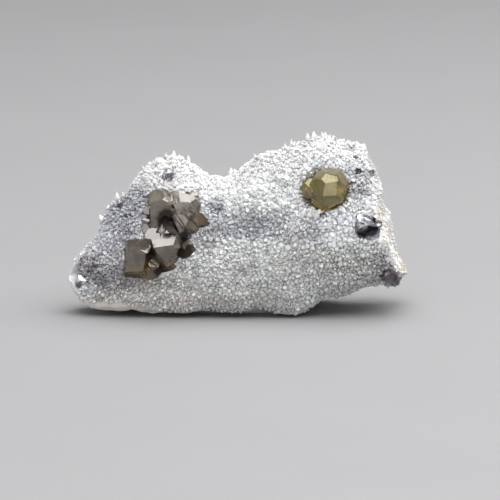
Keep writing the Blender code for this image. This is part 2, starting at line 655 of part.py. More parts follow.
def crystal_group(name, finder, rows):
    """Where each crystal of a group sits on the front, and its faces."""
    placed = []
    for place, out, faces in rows:
        foot, normal = finder.on_front(*place)
        if foot is None:
            raise ValueError("no quartz is seen behind a crystal of " + name)
        placed.append((foot + front_of(normal) * out, faces))
    return placed


def build_group(name, placed, grow=0.0, hollows=()):
    """Joins the crystals of a group in one solid, each grown by the same distance on all faces."""
    pieces = [cut_crystal(name, middle, faces, grow) for middle, faces in placed]
    whole = pieces[0]
    for piece in pieces[1:]:
        apply_boolean(whole, piece, "UNION")
    for middle, faces in hollows:
        apply_boolean(whole, cut_crystal(name, middle, faces), "DIFFERENCE")
    keep_largest_body(whole)
    whole.name = name
    return whole


def sphalerite_rows(crystals):
    """The faces of each sphalerite crystal: those of the mineral and the big ones of its own."""
    rows = []
    for _, place, out, radius, squash, tilt, own in crystals:
        faces = sphalerite_faces(radius, squash, tilt)
        faces += [(direction(turn, rise), distance) for turn, rise, distance in own]
        rows.append((place, out, faces))
    return rows


def galena_rows(crystals):
    """The faces of each cube of a galena crystal."""
    return [(place, out, cube_faces(half, corner, tilt)) for place, out, half, corner, tilt in crystals]


def finish(thing, colour, roughness, metallic, transmission=0.0):
    """Gives a piece its own material."""
    material = bpy.data.materials.new(thing.name)
    material.use_nodes = True
    shader = material.node_tree.nodes["Principled BSDF"]
    shader.inputs["Base Color"].default_value = (*colour, 1.0)
    shader.inputs["Roughness"].default_value = roughness
    shader.inputs["Metallic"].default_value = metallic
    shader.inputs["Transmission Weight"].default_value = transmission
    thing.data.materials.clear()
    thing.data.materials.append(material)


def build():
    """Builds every piece of the specimen."""
    for old in list(bpy.data.objects):
        bpy.data.objects.remove(old)

    matrix = plate()
    apply_boolean(matrix, break_cutter(), "DIFFERENCE")
    finder = Crust(matrix, [])

    bases = [(place, out, cube_faces(half, None, tilt)) for place, out, half, tilt in BROWN_BASES]
    brown = bases + sphalerite_rows(BROWN_CRYSTALS)
    groups = {
        "sphalerite_cluster": crystal_group("sphalerite_cluster", finder, brown),
        "sphalerite_yellow": crystal_group("sphalerite_yellow", finder, sphalerite_rows(YELLOW_CRYSTALS)),
    }
    for name, crystals in GALENA_CRYSTALS:
        groups[name] = crystal_group(name, finder, galena_rows(crystals))
    for number, (place, size) in enumerate(GRAINS, start=1):
        tilt = (17 * number, 31 * number, 53 * number)
        faces = cube_faces((size, size * 0.8, size * 0.9), None, tilt)
        name = "galena_grain_%d" % number
        groups[name] = crystal_group(name, finder, [(place, size * 0.35, faces)])

    keep_clear = []
    for placed in groups.values():
        keep_clear += [(middle, max(d for _, d in faces) * 0.8 + 0.5) for middle, faces in placed]
    points = Crust(matrix, keep_clear).make()
    apply_boolean(matrix, points, "UNION", itself=True)

    for name, placed in groups.items():
        pocket = build_group(name + "_pocket", placed, GAP)
        apply_boolean(matrix, pocket, "DIFFERENCE")
    keep_largest_body(matrix)

    hollow = crystal_group("hollow", finder, sphalerite_rows((BROWN_HOLLOW,)))
    pieces = {}
    for name, placed in groups.items():
        pieces[name] = build_group(name, placed, 0.0, hollow if name == "sphalerite_cluster" else ())
    finish(matrix, (0.78, 0.78, 0.79), 0.35, 0.0)
    for name, piece in pieces.items():
        if name == "sphalerite_cluster":
            finish(piece, (0.16, 0.11, 0.08), 0.12, 0.1)
        elif name == "sphalerite_yellow":
            finish(piece, (0.42, 0.36, 0.16), 0.1, 0.0, 0.5)
        else:
            finish(piece, (0.32, 0.31, 0.34), 0.25, 1.0)


build()
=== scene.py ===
"""Sphalerite with quartz: the fine crust, the finishes and the studio round the fixed solids.

The solids give the plate, its larger quartz points and the other minerals. This script puts a fine
plate and thousands of small quartz points in place of the plain quartz, and dresses every mineral.
Lengths are in millimetres while a shape is worked out, and in metres in the meshes and materials. The
front looks along -Y, +X is to the right and +Z is up. "Across" and "up" say where a thing is seen from
the front, and "depth" is its y.
"""

import itertools
import logging
import math
import random
from dataclasses import dataclass, field
from enum import Enum

import bmesh
import bpy
import numpy as np
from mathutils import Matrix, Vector, noise
from mathutils.bvhtree import BVHTree


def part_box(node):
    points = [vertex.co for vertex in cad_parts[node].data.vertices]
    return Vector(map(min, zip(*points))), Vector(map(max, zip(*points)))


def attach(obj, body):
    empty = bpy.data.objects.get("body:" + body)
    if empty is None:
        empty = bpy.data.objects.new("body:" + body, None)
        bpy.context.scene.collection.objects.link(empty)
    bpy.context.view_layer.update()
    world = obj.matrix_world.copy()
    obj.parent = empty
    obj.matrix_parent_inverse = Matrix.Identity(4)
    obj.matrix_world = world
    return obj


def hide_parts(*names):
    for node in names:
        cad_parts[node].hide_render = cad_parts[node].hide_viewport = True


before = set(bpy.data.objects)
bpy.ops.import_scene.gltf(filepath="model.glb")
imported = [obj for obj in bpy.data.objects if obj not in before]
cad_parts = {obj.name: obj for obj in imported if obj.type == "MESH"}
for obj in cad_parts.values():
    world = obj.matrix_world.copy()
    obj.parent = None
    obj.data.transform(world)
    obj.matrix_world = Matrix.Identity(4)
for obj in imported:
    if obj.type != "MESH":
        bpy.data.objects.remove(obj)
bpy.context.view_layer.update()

MM = 0.001
TINY = 1e-9
VIEW_TILT = math.radians(9.5)
ROCK_CREAM = (0.86, 0.85, 0.81)
ROCK_GREY = (0.58, 0.58, 0.6)
ROCK_RUST = (0.6, 0.5, 0.36)
QUARTZ_INDEX = 1.545
BLENDE_INDEX = 2.37
BLOCK_FACES = ((0, 1, 3, 2), (4, 6, 7, 5), (0, 4, 5, 1), (2, 3, 7, 6), (0, 2, 6, 4), (1, 5, 7, 3))
LOG = logging.getLogger("specimen")

Pair = tuple[float, float]
Triple = tuple[float, float, float]
Colour = Triple
Outline = tuple[Pair, ...]
Spots = tuple[tuple[float, float, float, float], ...]
Socket = bpy.types.NodeSocket


class Slot(Enum):
    """The record's material slots."""

    QUARTZ = "quartz"
    BROWN = "brown_sphalerite"
    YELLOW = "yellow_sphalerite"
    GALENA = "galena"


class Habit(Enum):
    """How a patch of quartz points grows."""

    CRUST = "crust"
    FILL = "fill"
    EDGE = "edge"
    FRINGE = "fringe"


def within(value: float) -> float:
    """Keeps a value between 0 and 1."""
    return min(1.0, max(0.0, value))


def along(table: Outline, x: float) -> float:
    """The value of an outline at x, on straight lines between its points."""
    return float(np.interp(x, [p[0] for p in table], [p[1] for p in table]))


def height_of(up: float, depth: float) -> float:
    """The height of a point at a depth that is seen at a height up from the front."""
    return (up - depth * math.sin(VIEW_TILT)) / math.cos(VIEW_TILT)


def seen_up(point: Vector) -> float:
    """How high a point is seen from the front."""
    return point.z * math.cos(VIEW_TILT) + point.y * math.sin(VIEW_TILT)


def seen_ups(points: np.ndarray) -> np.ndarray:
    """How high each of many points is seen from the front."""
    return points[:, 2] * math.cos(VIEW_TILT) + points[:, 1] * math.sin(VIEW_TILT)


def link_object(name: str, data: bpy.types.ID) -> bpy.types.Object:
    """Makes an object from a mesh, a light or a camera.

    Args:
        name: The object's name.
        data: What it shows.

    Returns:
        The new object, linked to the scene.
    """
    thing = bpy.data.objects.new(name, data)
    bpy.context.scene.collection.objects.link(thing)
    return thing


def make_object(name: str, verts: np.ndarray | list, faces: list) -> bpy.types.Object:
    """Makes a mesh object from points in millimetres.

    Args:
        name: The piece's name.
        verts: Its points.
        faces: Its faces, as tuples of point numbers.

    Returns:
        The new object, linked to the scene.
    """
    mesh = bpy.data.meshes.new(name)
    mesh.from_pydata([tuple(float(c) * MM for c in v) for v in verts], [], faces)
    mesh.update()
    return link_object(name, mesh)


def settle(node: bpy.types.Node, values: dict[str, object]) -> None:
    """Sets constants on a node's own inputs.

    Args:
        node: The node.
        values: The value of each input, by the input's name.
    """
    for title, value in values.items():
        node.inputs[title].default_value = value


def rgb(red: float, green: float, blue: float) -> tuple[float, float, float, float]:
    """A linear colour with full alpha."""
    return (red, green, blue, 1.0)


class NodeTree:
    """A thin helper that adds nodes to a shader tree and links them."""

    def __init__(self, tree: bpy.types.NodeTree) -> None:
        """Keeps the tree that nodes are added to."""
        self.tree = tree

    def add(self, kind: str, **settings: object) -> bpy.types.Node:
        """Adds a node of a kind and sets its properties.

        Args:
            kind: The node's type name.
            settings: Properties to set on it.

        Returns:
            The new node.
        """
        node = self.tree.nodes.new(kind)
        for key, value in settings.items():
            setattr(node, key, value)
        return node

    def link(self, source: Socket, target: Socket) -> None:
        """Links an output to an input."""
        self.tree.links.new(source, target)

    def put(self, target: Socket, value: object) -> None:
        """Gives an input a socket's output or a plain value.

        Args:
            target: The input.
            value: A socket to link, or a plain value.
        """
        if isinstance(value, bpy.types.NodeSocket):
            self.link(value, target)
        else:
            target.default_value = value

    def noise(self, vector: Socket, scale: object, detail: float = 3.0, rough: float = 0.55,
              warp: float = 0.0) -> Socket:
        """Adds a noise texture.

        Args:
            vector: Where the texture is read.
            scale: How fine it is.
            detail: How many finer layers it has.
            rough: How strong those layers are.
            warp: How much it is distorted.

        Returns:
            Its grey value, from 0 to 1.
        """
        node = self.add("ShaderNodeTexNoise")
        self.link(vector, node.inputs["Vector"])
        self.put(node.inputs["Scale"], scale)
        settle(node, {"Detail": detail, "Roughness": rough, "Distortion": warp})
        return node.outputs["Fac"]

    def ramp(self, value: Socket, low: object, high: object) -> Socket:
        """Stretches a value so that low becomes 0 and high becomes 1, with soft ends.

        Args:
            value: The value to stretch.
            low: What becomes 0.
            high: What becomes 1.

        Returns:
            The stretched value.
        """
        node = self.add("ShaderNodeMapRange", interpolation_type="SMOOTHSTEP")
        self.link(value, node.inputs["Value"])
        self.put(node.inputs["From Min"], low)
        self.put(node.inputs["From Max"], high)
        return node.outputs["Result"]

    def span(self, value: Socket, low: float, high: float) -> Socket:
        """Spreads a value from 0 to 1 between low and high.

        Args:
            value: A value from 0 to 1.
            low: What 0 becomes.
            high: What 1 becomes.

        Returns:
            The spread value.
        """
        node = self.add("ShaderNodeMapRange")
        self.link(value, node.inputs["Value"])
        settle(node, {"To Min": low, "To Max": high})
        return node.outputs["Result"]

    def math(self, operation: str, first: object, second: object = 0.0) -> Socket:
        """Adds a math node.

        Args:
            operation: The node's operation.
            first: The first value or socket.
            second: The second one.

        Returns:
            The result.
        """
        node = self.add("ShaderNodeMath", operation=operation)
        self.put(node.inputs[0], first)
        self.put(node.inputs[1], second)
        return node.outputs[0]

    def times(self, first: Socket, factor: object) -> Socket:
        """A value times a factor or another value."""
        return self.math("MULTIPLY", first, factor)

    def mix(self, amount: object, first: object, second: object, blend: str = "MIX") -> Socket:
        """Mixes two colours.

        Args:
            amount: How much of the second colour there is.
            first: The first colour.
            second: The second colour.
            blend: How they are blended.

        Returns:
            The mixed colour.
        """
        node = self.add("ShaderNodeMix", data_type="RGBA", blend_type=blend)
        self.put(node.inputs["Factor"], amount)
        self.put(node.inputs[6], first)
        self.put(node.inputs[7], second)
        return node.outputs[2]


class Effects:
    """The shader node groups that several finishes share, each built once."""

    @staticmethod
    def _group(name: str, inputs: dict[str, tuple[str, object]], outputs: dict[str, str]
               ) -> tuple[bpy.types.NodeTree, NodeTree, dict[str, Socket], dict[str, Socket]]:
        """Makes an empty group with named inputs and outputs.

        Args:
            name: The group's name.
            inputs: Each input's socket type and starting value.
            outputs: Each output's socket type.

        Returns:
            The group, its helper, what it is given and what it has to make, by name.
        """
        group = bpy.data.node_groups.new(name, "ShaderNodeTree")
        for title, (kind, value) in inputs.items():
            socket = group.interface.new_socket(title, in_out="INPUT", socket_type=kind)
            if value is not None:
                socket.default_value = value
        for title, kind in outputs.items():
            group.interface.new_socket(title, in_out="OUTPUT", socket_type=kind)
        helper = NodeTree(group)
        sources, targets = helper.add("NodeGroupInput").outputs, helper.add("NodeGroupOutput").inputs
        given = {title: sources[title] for title in inputs}
        made = {title: targets[title] for title in outputs}
        return group, helper, given, made

    @staticmethod
    def clouding() -> bpy.types.NodeTree:
        """Milky clouds and fine grains inside a mineral: a colour, a mask and a height.

        Returns:
            The group, made at its first use.
        """
        if "clouding" in bpy.data.node_groups:
            return bpy.data.node_groups["clouding"]
        group, tree, given, made = Effects._group(
            "clouding",
            {"Vector": ("NodeSocketVector", None), "Clear": ("NodeSocketColor", rgb(0.6, 0.6, 0.6)),
             "Milky": ("NodeSocketColor", rgb(0.9, 0.9, 0.9)), "Scale": ("NodeSocketFloat", 300.0),
             "Grain": ("NodeSocketFloat", 2400.0)},
            {"Color": "NodeSocketColor", "Mask": "NodeSocketFloat", "Height": "NodeSocketFloat"})
        clouds = tree.ramp(tree.noise(given["Vector"], given["Scale"], 4.0, 0.6, 0.4), 0.34, 0.66)
        grains = tree.noise(given["Vector"], given["Grain"], 2.0, 0.5)
        colour = tree.mix(clouds, given["Clear"], given["Milky"])
        grained = tree.mix(tree.span(grains, 0.0, 0.35), colour, rgb(1.0, 1.0, 1.0), "OVERLAY")
        tree.link(grained, made["Color"])
        tree.link(clouds, made["Mask"])
        tree.link(tree.math("ADD", tree.times(clouds, 0.6), tree.times(grains, 0.4)), made["Height"])
        return group

    @staticmethod
    def growth_lines() -> bpy.types.NodeTree:
        """Fine steps that run across a crystal's faces in patches, as a height.

        Returns:
            The group, made at its first use.
        """
        if "growth_lines" in bpy.data.node_groups:
            return bpy.data.node_groups["growth_lines"]
        group, tree, given, made = Effects._group(
            "growth_lines",
            {"Vector": ("NodeSocketVector", None), "Spacing": ("NodeSocketFloat", 900.0),
             "Wander": ("NodeSocketFloat", 3.0)},
            {"Height": "NodeSocketFloat"})
        wave = tree.add("ShaderNodeTexWave", wave_type="BANDS", bands_direction="DIAGONAL",
                        wave_profile="SAW")
        for title, source in (("Vector", "Vector"), ("Scale", "Spacing"), ("Distortion", "Wander")):
            tree.link(given[source], wave.inputs[title])
        settle(wave, {"Detail": 2.0})
        patches = tree.ramp(tree.noise(given["Vector"], 260.0, 2.0), 0.45, 0.6)
        tree.link(tree.times(wave.outputs["Fac"], patches), made["Height"])
        return group

    @staticmethod
    def soft_ball() -> bpy.types.NodeTree:
        """A mask that is 1 inside a ball and fades away across its skin.

        Returns:
            The group, made at its first use.
        """
        if "soft_ball" in bpy.data.node_groups:
            return bpy.data.node_groups["soft_ball"]
        group, tree, given, made = Effects._group(
            "soft_ball",
            {"Vector": ("NodeSocketVector", None), "Middle": ("NodeSocketVector", None),
             "Radius": ("NodeSocketFloat", MM), "Wander": ("NodeSocketFloat", 0.0)},
            {"Mask": "NodeSocketFloat"})
        far = tree.add("ShaderNodeVectorMath", operation="DISTANCE")
        tree.link(given["Vector"], far.inputs[0])
        tree.link(given["Middle"], far.inputs[1])
        reach = tree.math("ADD", far.outputs["Value"], given["Wander"])
        outer, inner = tree.times(given["Radius"], 1.3), tree.times(given["Radius"], 0.7)
        tree.link(tree.ramp(reach, outer, inner), made["Mask"])
        return group


class MaterialTree(NodeTree):
    """The helper of one material, with its shader and the place in the object, in metres."""

    def __init__(self, material: bpy.types.Material) -> None:
        """Finds the material's shader and adds the node that reads the place.

        Args:
            material: A material that uses nodes.
        """
        super().__init__(material.node_tree)
        self.shader = material.node_tree.nodes["Principled BSDF"]
        self.place = self.add("ShaderNodeTexCoord").outputs["Object"]

    def feed(self, title: str, value: Socket) -> None:
        """Links a value to one of the shader's inputs."""
        self.link(value, self.shader.inputs[title])

    def use(self, group: bpy.types.NodeTree, **values: object) -> bpy.types.Node:
        """Places a shared effect in the material with its own values.

        Args:
            group: The effect's group.
            values: The values of the effect's inputs.

        Returns:
            The group node.
        """
        node = self.add("ShaderNodeGroup", node_tree=group)
        self.link(self.place, node.inputs["Vector"])
        settle(node, values)
        return node

    def tinted(self, colour: Socket) -> Socket:
        """A colour multiplied by the colour that the mesh keeps at each point."""
        tint = self.add("ShaderNodeAttribute", attribute_name="tint")
        return self.mix(1.0, colour, tint.outputs["Color"], "MULTIPLY")

    def near_spots(self, spots: Spots) -> Socket:
        """A mask that is 1 in some soft balls and 0 elsewhere.

        Args:
            spots: The middle and the radius of each ball, in millimetres.

        Returns:
            The mask, with edges that wander.
        """
        wander = self.span(self.noise(self.place, 420.0, 3.0, 0.6), -1.2 * MM, 1.2 * MM)
        total: object = 0.0
        for x, y, z, radius in spots:
            ball = self.use(Effects.soft_ball(), Middle=(x * MM, y * MM, z * MM), Radius=radius * MM)
            self.link(wander, ball.inputs["Wander"])
            total = self.math("MAXIMUM", total, ball.outputs["Mask"])
        return total

    def absorb(self, colour: Colour, density: float) -> None:
        """Lets the inside of a clear mineral take up light.

        Args:
            colour: The colour that passes best.
            density: How much is taken up in a metre.
        """
        inside = self.add("ShaderNodeVolumeAbsorption")
        settle(inside, {"Color": rgb(*colour), "Density": density})
        self.link(inside.outputs["Volume"], self.tree.nodes["Material Output"].inputs["Volume"])

    def bump(self, height: Socket, strength: float, depth: float) -> None:
        """Feeds a height through a Bump node to the shader's normal.

        Args:
            height: The height.
            strength: How strong the relief is.
            depth: How deep it is, in metres.
        """
        node = self.add("ShaderNodeBump")
        settle(node, {"Strength": strength, "Distance": depth})
        self.link(height, node.inputs["Height"])
        self.feed("Normal", node.outputs["Normal"])


@dataclass(frozen=True)
class Finish:
    """What every finish shares: its clouds, where it is rough, and the material it makes."""

    name: str = "finish"
    roughness: Pair = (0.2, 0.4)
    clear: Colour = (0.6, 0.6, 0.6)
    milky: Colour = (0.9, 0.9, 0.9)
    cloud_scale: float = 300.0
    grain_scale: float = 2400.0

    def material(self) -> bpy.types.Material:
        """Makes the material, or finds it if it was made before.

        Returns:
            The material, ready to assign.
        """
        if self.name in bpy.data.materials:
            return bpy.data.materials[self.name]
        material = bpy.data.materials.new(self.name)
        material.use_nodes = True
        self.dress(MaterialTree(material))
        return material

    def dress(self, tree: MaterialTree) -> None:
        """Fills the material's nodes in. Each finish has its own.

        Args:
            tree: The material's helper.
        """
        raise NotImplementedError

    def clouds(self, tree: MaterialTree) -> bpy.types.Node:
        """Adds the finish's clouds, and makes it rougher where they are.

        Args:
            tree: The material's helper.

        Returns:
            The clouds' node, with their colour, mask and height.
        """
        cloud = tree.use(Effects.clouding(), Clear=rgb(*self.clear), Milky=rgb(*self.milky),
                         Scale=self.cloud_scale, Grain=self.grain_scale)
        tree.feed("Roughness", tree.span(cloud.outputs["Mask"], *self.roughness))
        return cloud


@dataclass(frozen=True)
class QuartzPointFinish(Finish):
    """Glassy small quartz points: clear to milky, tinted by the patch that they stand in."""

    name: str = "quartz_points"
    roughness: Pair = (0.04, 0.16)
    clear: Colour = (0.8, 0.81, 0.83)
    milky: Colour = (1.0, 1.0, 1.0)
    cloud_scale: float = 420.0
    grain_scale: float = 2600.0
    transmission: float = 0.26
    milkiness: float = 0.85
    glow_depth: float = 0.0022
    relief: Pair = (0.08, 0.00005)

    def dress(self, tree: MaterialTree) -> None:
        """Tints the points by their own colour, with clouds inside.

        Args:
            tree: The material's helper.
        """
        cloud = self.clouds(tree)
        tree.feed("Base Color", tree.tinted(cloud.outputs["Color"]))
        settle(tree.shader, {"IOR": QUARTZ_INDEX, "Transmission Weight": self.transmission,
                             "Subsurface Weight": self.milkiness, "Subsurface Radius": (1.0, 1.0, 1.0),
                             "Subsurface Scale": self.glow_depth})
        tree.bump(cloud.outputs["Height"], *self.relief)


@dataclass(frozen=True)
class MassiveQuartzFinish(Finish):
    """Broken massive quartz: cream white, with grey clouds and some rusty seams."""

    name: str = "massive_quartz"
    roughness: Pair = (0.3, 0.55)
    clear: Colour = (0.62, 0.62, 0.63)
    milky: Colour = (0.97, 0.96, 0.93)
    cloud_scale: float = 130.0
    grain_scale: float = 1500.0
    rust: Colour = (0.56, 0.46, 0.32)
    seam: Colour = (0.34, 0.34, 0.37)
    relief: Pair = (0.7, 0.0004)

    def dress(self, tree: MaterialTree) -> None:
        """Mixes cream, grey and rust over the surface, with a sugary grain.

        Args:
            tree: The material's helper.
        """
        cloud = self.clouds(tree)
        rusty = tree.ramp(tree.noise(tree.place, 75.0, 5.0, 0.62, 0.8), 0.58, 0.76)
        seams = tree.ramp(tree.noise(tree.place, 210.0, 6.0, 0.7, 1.5), 0.6, 0.7)
        stained = tree.mix(tree.times(rusty, 0.4), cloud.outputs["Color"], rgb(*self.rust))
        veined = tree.mix(tree.times(seams, 0.3), stained, rgb(*self.seam))
        tree.feed("Base Color", tree.tinted(veined))
        settle(tree.shader, {"IOR": QUARTZ_INDEX})
        grain = tree.noise(tree.place, 1900.0, 4.0, 0.65)
        tree.bump(tree.math("ADD", tree.times(cloud.outputs["Height"], 0.4), grain), *self.relief)


@dataclass(frozen=True)
class BrownSphaleriteFinish(Finish):
    """Dark brown sphalerite: an adamantine, nearly metallic gloss, and amber where it is thin."""

    name: str = "umber_blende"
    roughness: Pair = (0.05, 0.16)
    clear: Colour = (0.03, 0.02, 0.013)
    milky: Colour = (0.115, 0.094, 0.07)
    cloud_scale: float = 160.0
    grain_scale: float = 1800.0
    amber_colour: Colour = (0.11, 0.063, 0.012)
    streak_colour: Colour = (0.018, 0.009, 0.004)
    # Painted shade: the colour of the crevice spots.
    painted_crevice_shade: Colour = (0.008, 0.005, 0.004)
    gloss: Colour = (0.72, 0.71, 0.71)
    # The weaker reflection of the painted crevice shade and of the streaks.
    shade_and_streak_gloss: Colour = (0.1, 0.085, 0.075)
    transmission: float = 0.22
    passed: Colour = (0.62, 0.34, 0.08)
    density: float = 380.0
    relief: Pair = (0.3, 0.00015)
    streak_lean: float = math.radians(-38.0)
    streak_size: Triple = (0.0006, 0.004, 0.009)
    amber: Spots = (
        (-10.2, -13.0, 29.4, 3.6), (-13.0, -15.0, 27.4, 2.2), (-27.0, -15.5, 15.1, 3.4),
        (-21.5, -15.5, 16.3, 3.2), (-33.0, -16.5, 14.4, 2.4), (-16.0, -15.0, 20.3, 2.0),
        (-19.0, -14.0, 38.3, 1.8), (-21.5, -16.0, 30.0, 1.4))
    # Painted shade: balls where the hollows between the crystals are darkened.
    painted_shade_spots: Spots = (
        (-20.9, -14.0, 29.8, 3.2), (-18.2, -15.0, 37.1, 1.9), (-20.9, -16.0, 26.0, 1.7),
        (-15.6, -14.5, 20.8, 3.0), (-24.8, -17.5, 21.1, 1.8), (-25.2, -17.5, 19.1, 1.6),
        (-14.9, -14.5, 24.7, 2.2), (-26.9, -14.0, 29.8, 1.8), (-13.0, -13.5, 33.0, 1.8),
        (-23.0, -14.5, 15.0, 2.2))
    striped: Spots = (
        (-14.5, -15.0, 31.0, 4.2), (-14.0, -14.0, 25.5, 4.5), (-12.0, -12.0, 34.0, 2.5),
        (-24.0, -16.0, 19.5, 2.6), (-22.0, -15.0, 16.0, 2.6))

    def streaks(self, tree: MaterialTree) -> Socket:
        """Slanted streaks, as a mask: noise that is read in a turned and stretched place.

        Args:
            tree: The material's helper.

        Returns:
            The mask, which is 0 outside the striped parts of the group.
        """
        turned = tree.add("ShaderNodeMapping", vector_type="TEXTURE")
        tree.link(tree.place, turned.inputs["Vector"])
        settle(turned, {"Rotation": (0.0, self.streak_lean, 0.0), "Scale": self.streak_size})
        streaks = tree.ramp(tree.noise(turned.outputs["Vector"], 1.0, 3.0, 0.6), 0.46, 0.56)
        return tree.times(streaks, tree.near_spots(self.striped))

    def dress(self, tree: MaterialTree) -> None:
        """Mixes umber, taupe and amber, with streaks, and darkens the crevice spots as painted shade, with a
        weaker reflection there.

        Args:
            tree: The material's helper.
        """
        cloud = self.clouds(tree)
        lines = tree.use(Effects.growth_lines(), Spacing=420.0, Wander=1.4)
        amber = tree.times(tree.near_spots(self.amber), 0.85)
        warm = tree.mix(amber, cloud.outputs["Color"], rgb(*self.amber_colour))
        streaked = self.streaks(tree)
        lined = tree.mix(tree.times(streaked, 0.85), warm, rgb(*self.streak_colour))
        # Painted shade: the crevice spots are darkened, standing for the shade in the hollows between the
        # crystals.
        dark = tree.times(tree.near_spots(self.painted_shade_spots), 0.92)
        tree.feed("Base Color", tree.mix(dark, lined, rgb(*self.painted_crevice_shade)))
        # Painted shade too: the reflection is weakened in the crevice spots, and on the streaks.
        dull_and_shaded = tree.math("MAXIMUM", dark, tree.times(streaked, 0.8))
        tree.feed("Specular Tint", tree.mix(dull_and_shaded, rgb(*self.gloss), rgb(*self.shade_and_streak_gloss)))
        settle(tree.shader, {"IOR": BLENDE_INDEX, "Transmission Weight": self.transmission})
        tree.absorb(self.passed, self.density)
        stepped, cloudy = tree.times(lines.outputs["Height"], 0.8), tree.times(cloud.outputs["Height"], 0.5)
        smooth = tree.math("ADD", stepped, cloudy)
        tree.bump(tree.math("SUBTRACT", smooth, tree.times(streaked, 1.6)), *self.relief)


@dataclass(frozen=True)
class YellowSphaleriteFinish(Finish):
    """Gemmy yellow-olive sphalerite: see-through, with a colour that deepens inside."""

    name: str = "olive_blende"
    roughness: Pair = (0.03, 0.1)
    clear: Colour = (0.34, 0.29, 0.09)
    milky: Colour = (0.5, 0.45, 0.29)
    cloud_scale: float = 230.0
    grain_scale: float = 1700.0
    veil: Colour = (0.13, 0.1, 0.035)
    cap_colour: Colour = (0.55, 0.54, 0.5)
    gloss: Colour = (0.62, 0.56, 0.36)
    transmission: float = 0.8
    passed: Colour = (0.8, 0.7, 0.22)
    density: float = 250.0
    relief: Pair = (0.18, 0.0001)
    cap: Spots = ((28.0, -8.0, 44.5, 2.6), (25.0, -8.0, 43.5, 2.2), (31.0, -8.0, 43.0, 1.8))

    def dress(self, tree: MaterialTree) -> None:
        """Tints the surface unevenly and lets the inside take up blue light.

        Args:
            tree: The material's helper.
        """
        cloud = self.clouds(tree)
        lines = tree.use(Effects.growth_lines(), Spacing=520.0, Wander=2.0)
        veils = tree.ramp(tree.noise(tree.place, 340.0, 5.0, 0.7, 2.2), 0.52, 0.62)
        veiled = tree.mix(tree.times(veils, 0.55), cloud.outputs["Color"], rgb(*self.veil))
        cap = tree.times(tree.near_spots(self.cap), 0.7)
        tree.feed("Base Color", tree.mix(cap, veiled, rgb(*self.cap_colour)))
        settle(tree.shader, {"IOR": BLENDE_INDEX, "Specular Tint": rgb(*self.gloss),
                             "Transmission Weight": self.transmission})
        tree.absorb(self.passed, self.density)
        tree.bump(lines.outputs["Height"], *self.relief)


@dataclass(frozen=True)
class GalenaFinish(Finish):
    """Lead-grey galena: metallic, clear and bright on fresh cleavage, and nearly black in cloudy patches of
    painted dark reflection.
    """

    name: str = "lead_glance"
    roughness: Pair = (0.12, 0.38)
    clear: Colour = (0.5, 0.5, 0.53)
    # Painted dark reflection: the cloudy patches are nearly black.
    milky: Colour = (0.016, 0.014, 0.019)
    cloud_scale: float = 320.0
    grain_scale: float = 2200.0
    # Painted shade: the colour of the pits.
    painted_pit_shade: Colour = (0.012, 0.01, 0.014)
    relief: Pair = (0.5, 0.0002)
    pits: Spots = ((40.0, -14.8, 26.6, 2.1), (37.8, -14.4, 26.0, 1.5))

    def dress(self, tree: MaterialTree) -> None:
        """Mixes bright metal with nearly black patches of painted dark reflection, with cleavage lines, and
        pits painted black as shade.

        Args:
            tree: The material's helper.
        """
        cloud = self.clouds(tree)
        lines = tree.use(Effects.growth_lines(), Spacing=700.0, Wander=0.3)
        # Painted shade: the pits are painted nearly black.
        pit_shade_mask = tree.times(tree.near_spots(self.pits), 0.9)
        tree.feed("Base Color", tree.mix(pit_shade_mask, cloud.outputs["Color"], rgb(*self.painted_pit_shade)))
        settle(tree.shader, {"Metallic": 1.0})
        height = tree.math("ADD", lines.outputs["Height"], tree.times(cloud.outputs["Height"], 0.6))
        tree.bump(height, *self.relief)


@dataclass(frozen=True)
class FloorFinish(Finish):
    """The plain pale floor, with a barely visible mottling."""

    name: str = "pale_floor"
    clear: Colour = (0.21, 0.21, 0.215)
    milky: Colour = (0.225, 0.225, 0.23)

    def dress(self, tree: MaterialTree) -> None:
        """Mixes two pale greys.

        Args:
            tree: The material's helper.
        """
        mottle = tree.noise(tree.place, 14.0, 4.0)
        tree.feed("Base Color", tree.mix(mottle, rgb(*self.clear), rgb(*self.milky)))
        settle(tree.shader, {"Roughness": 0.7})


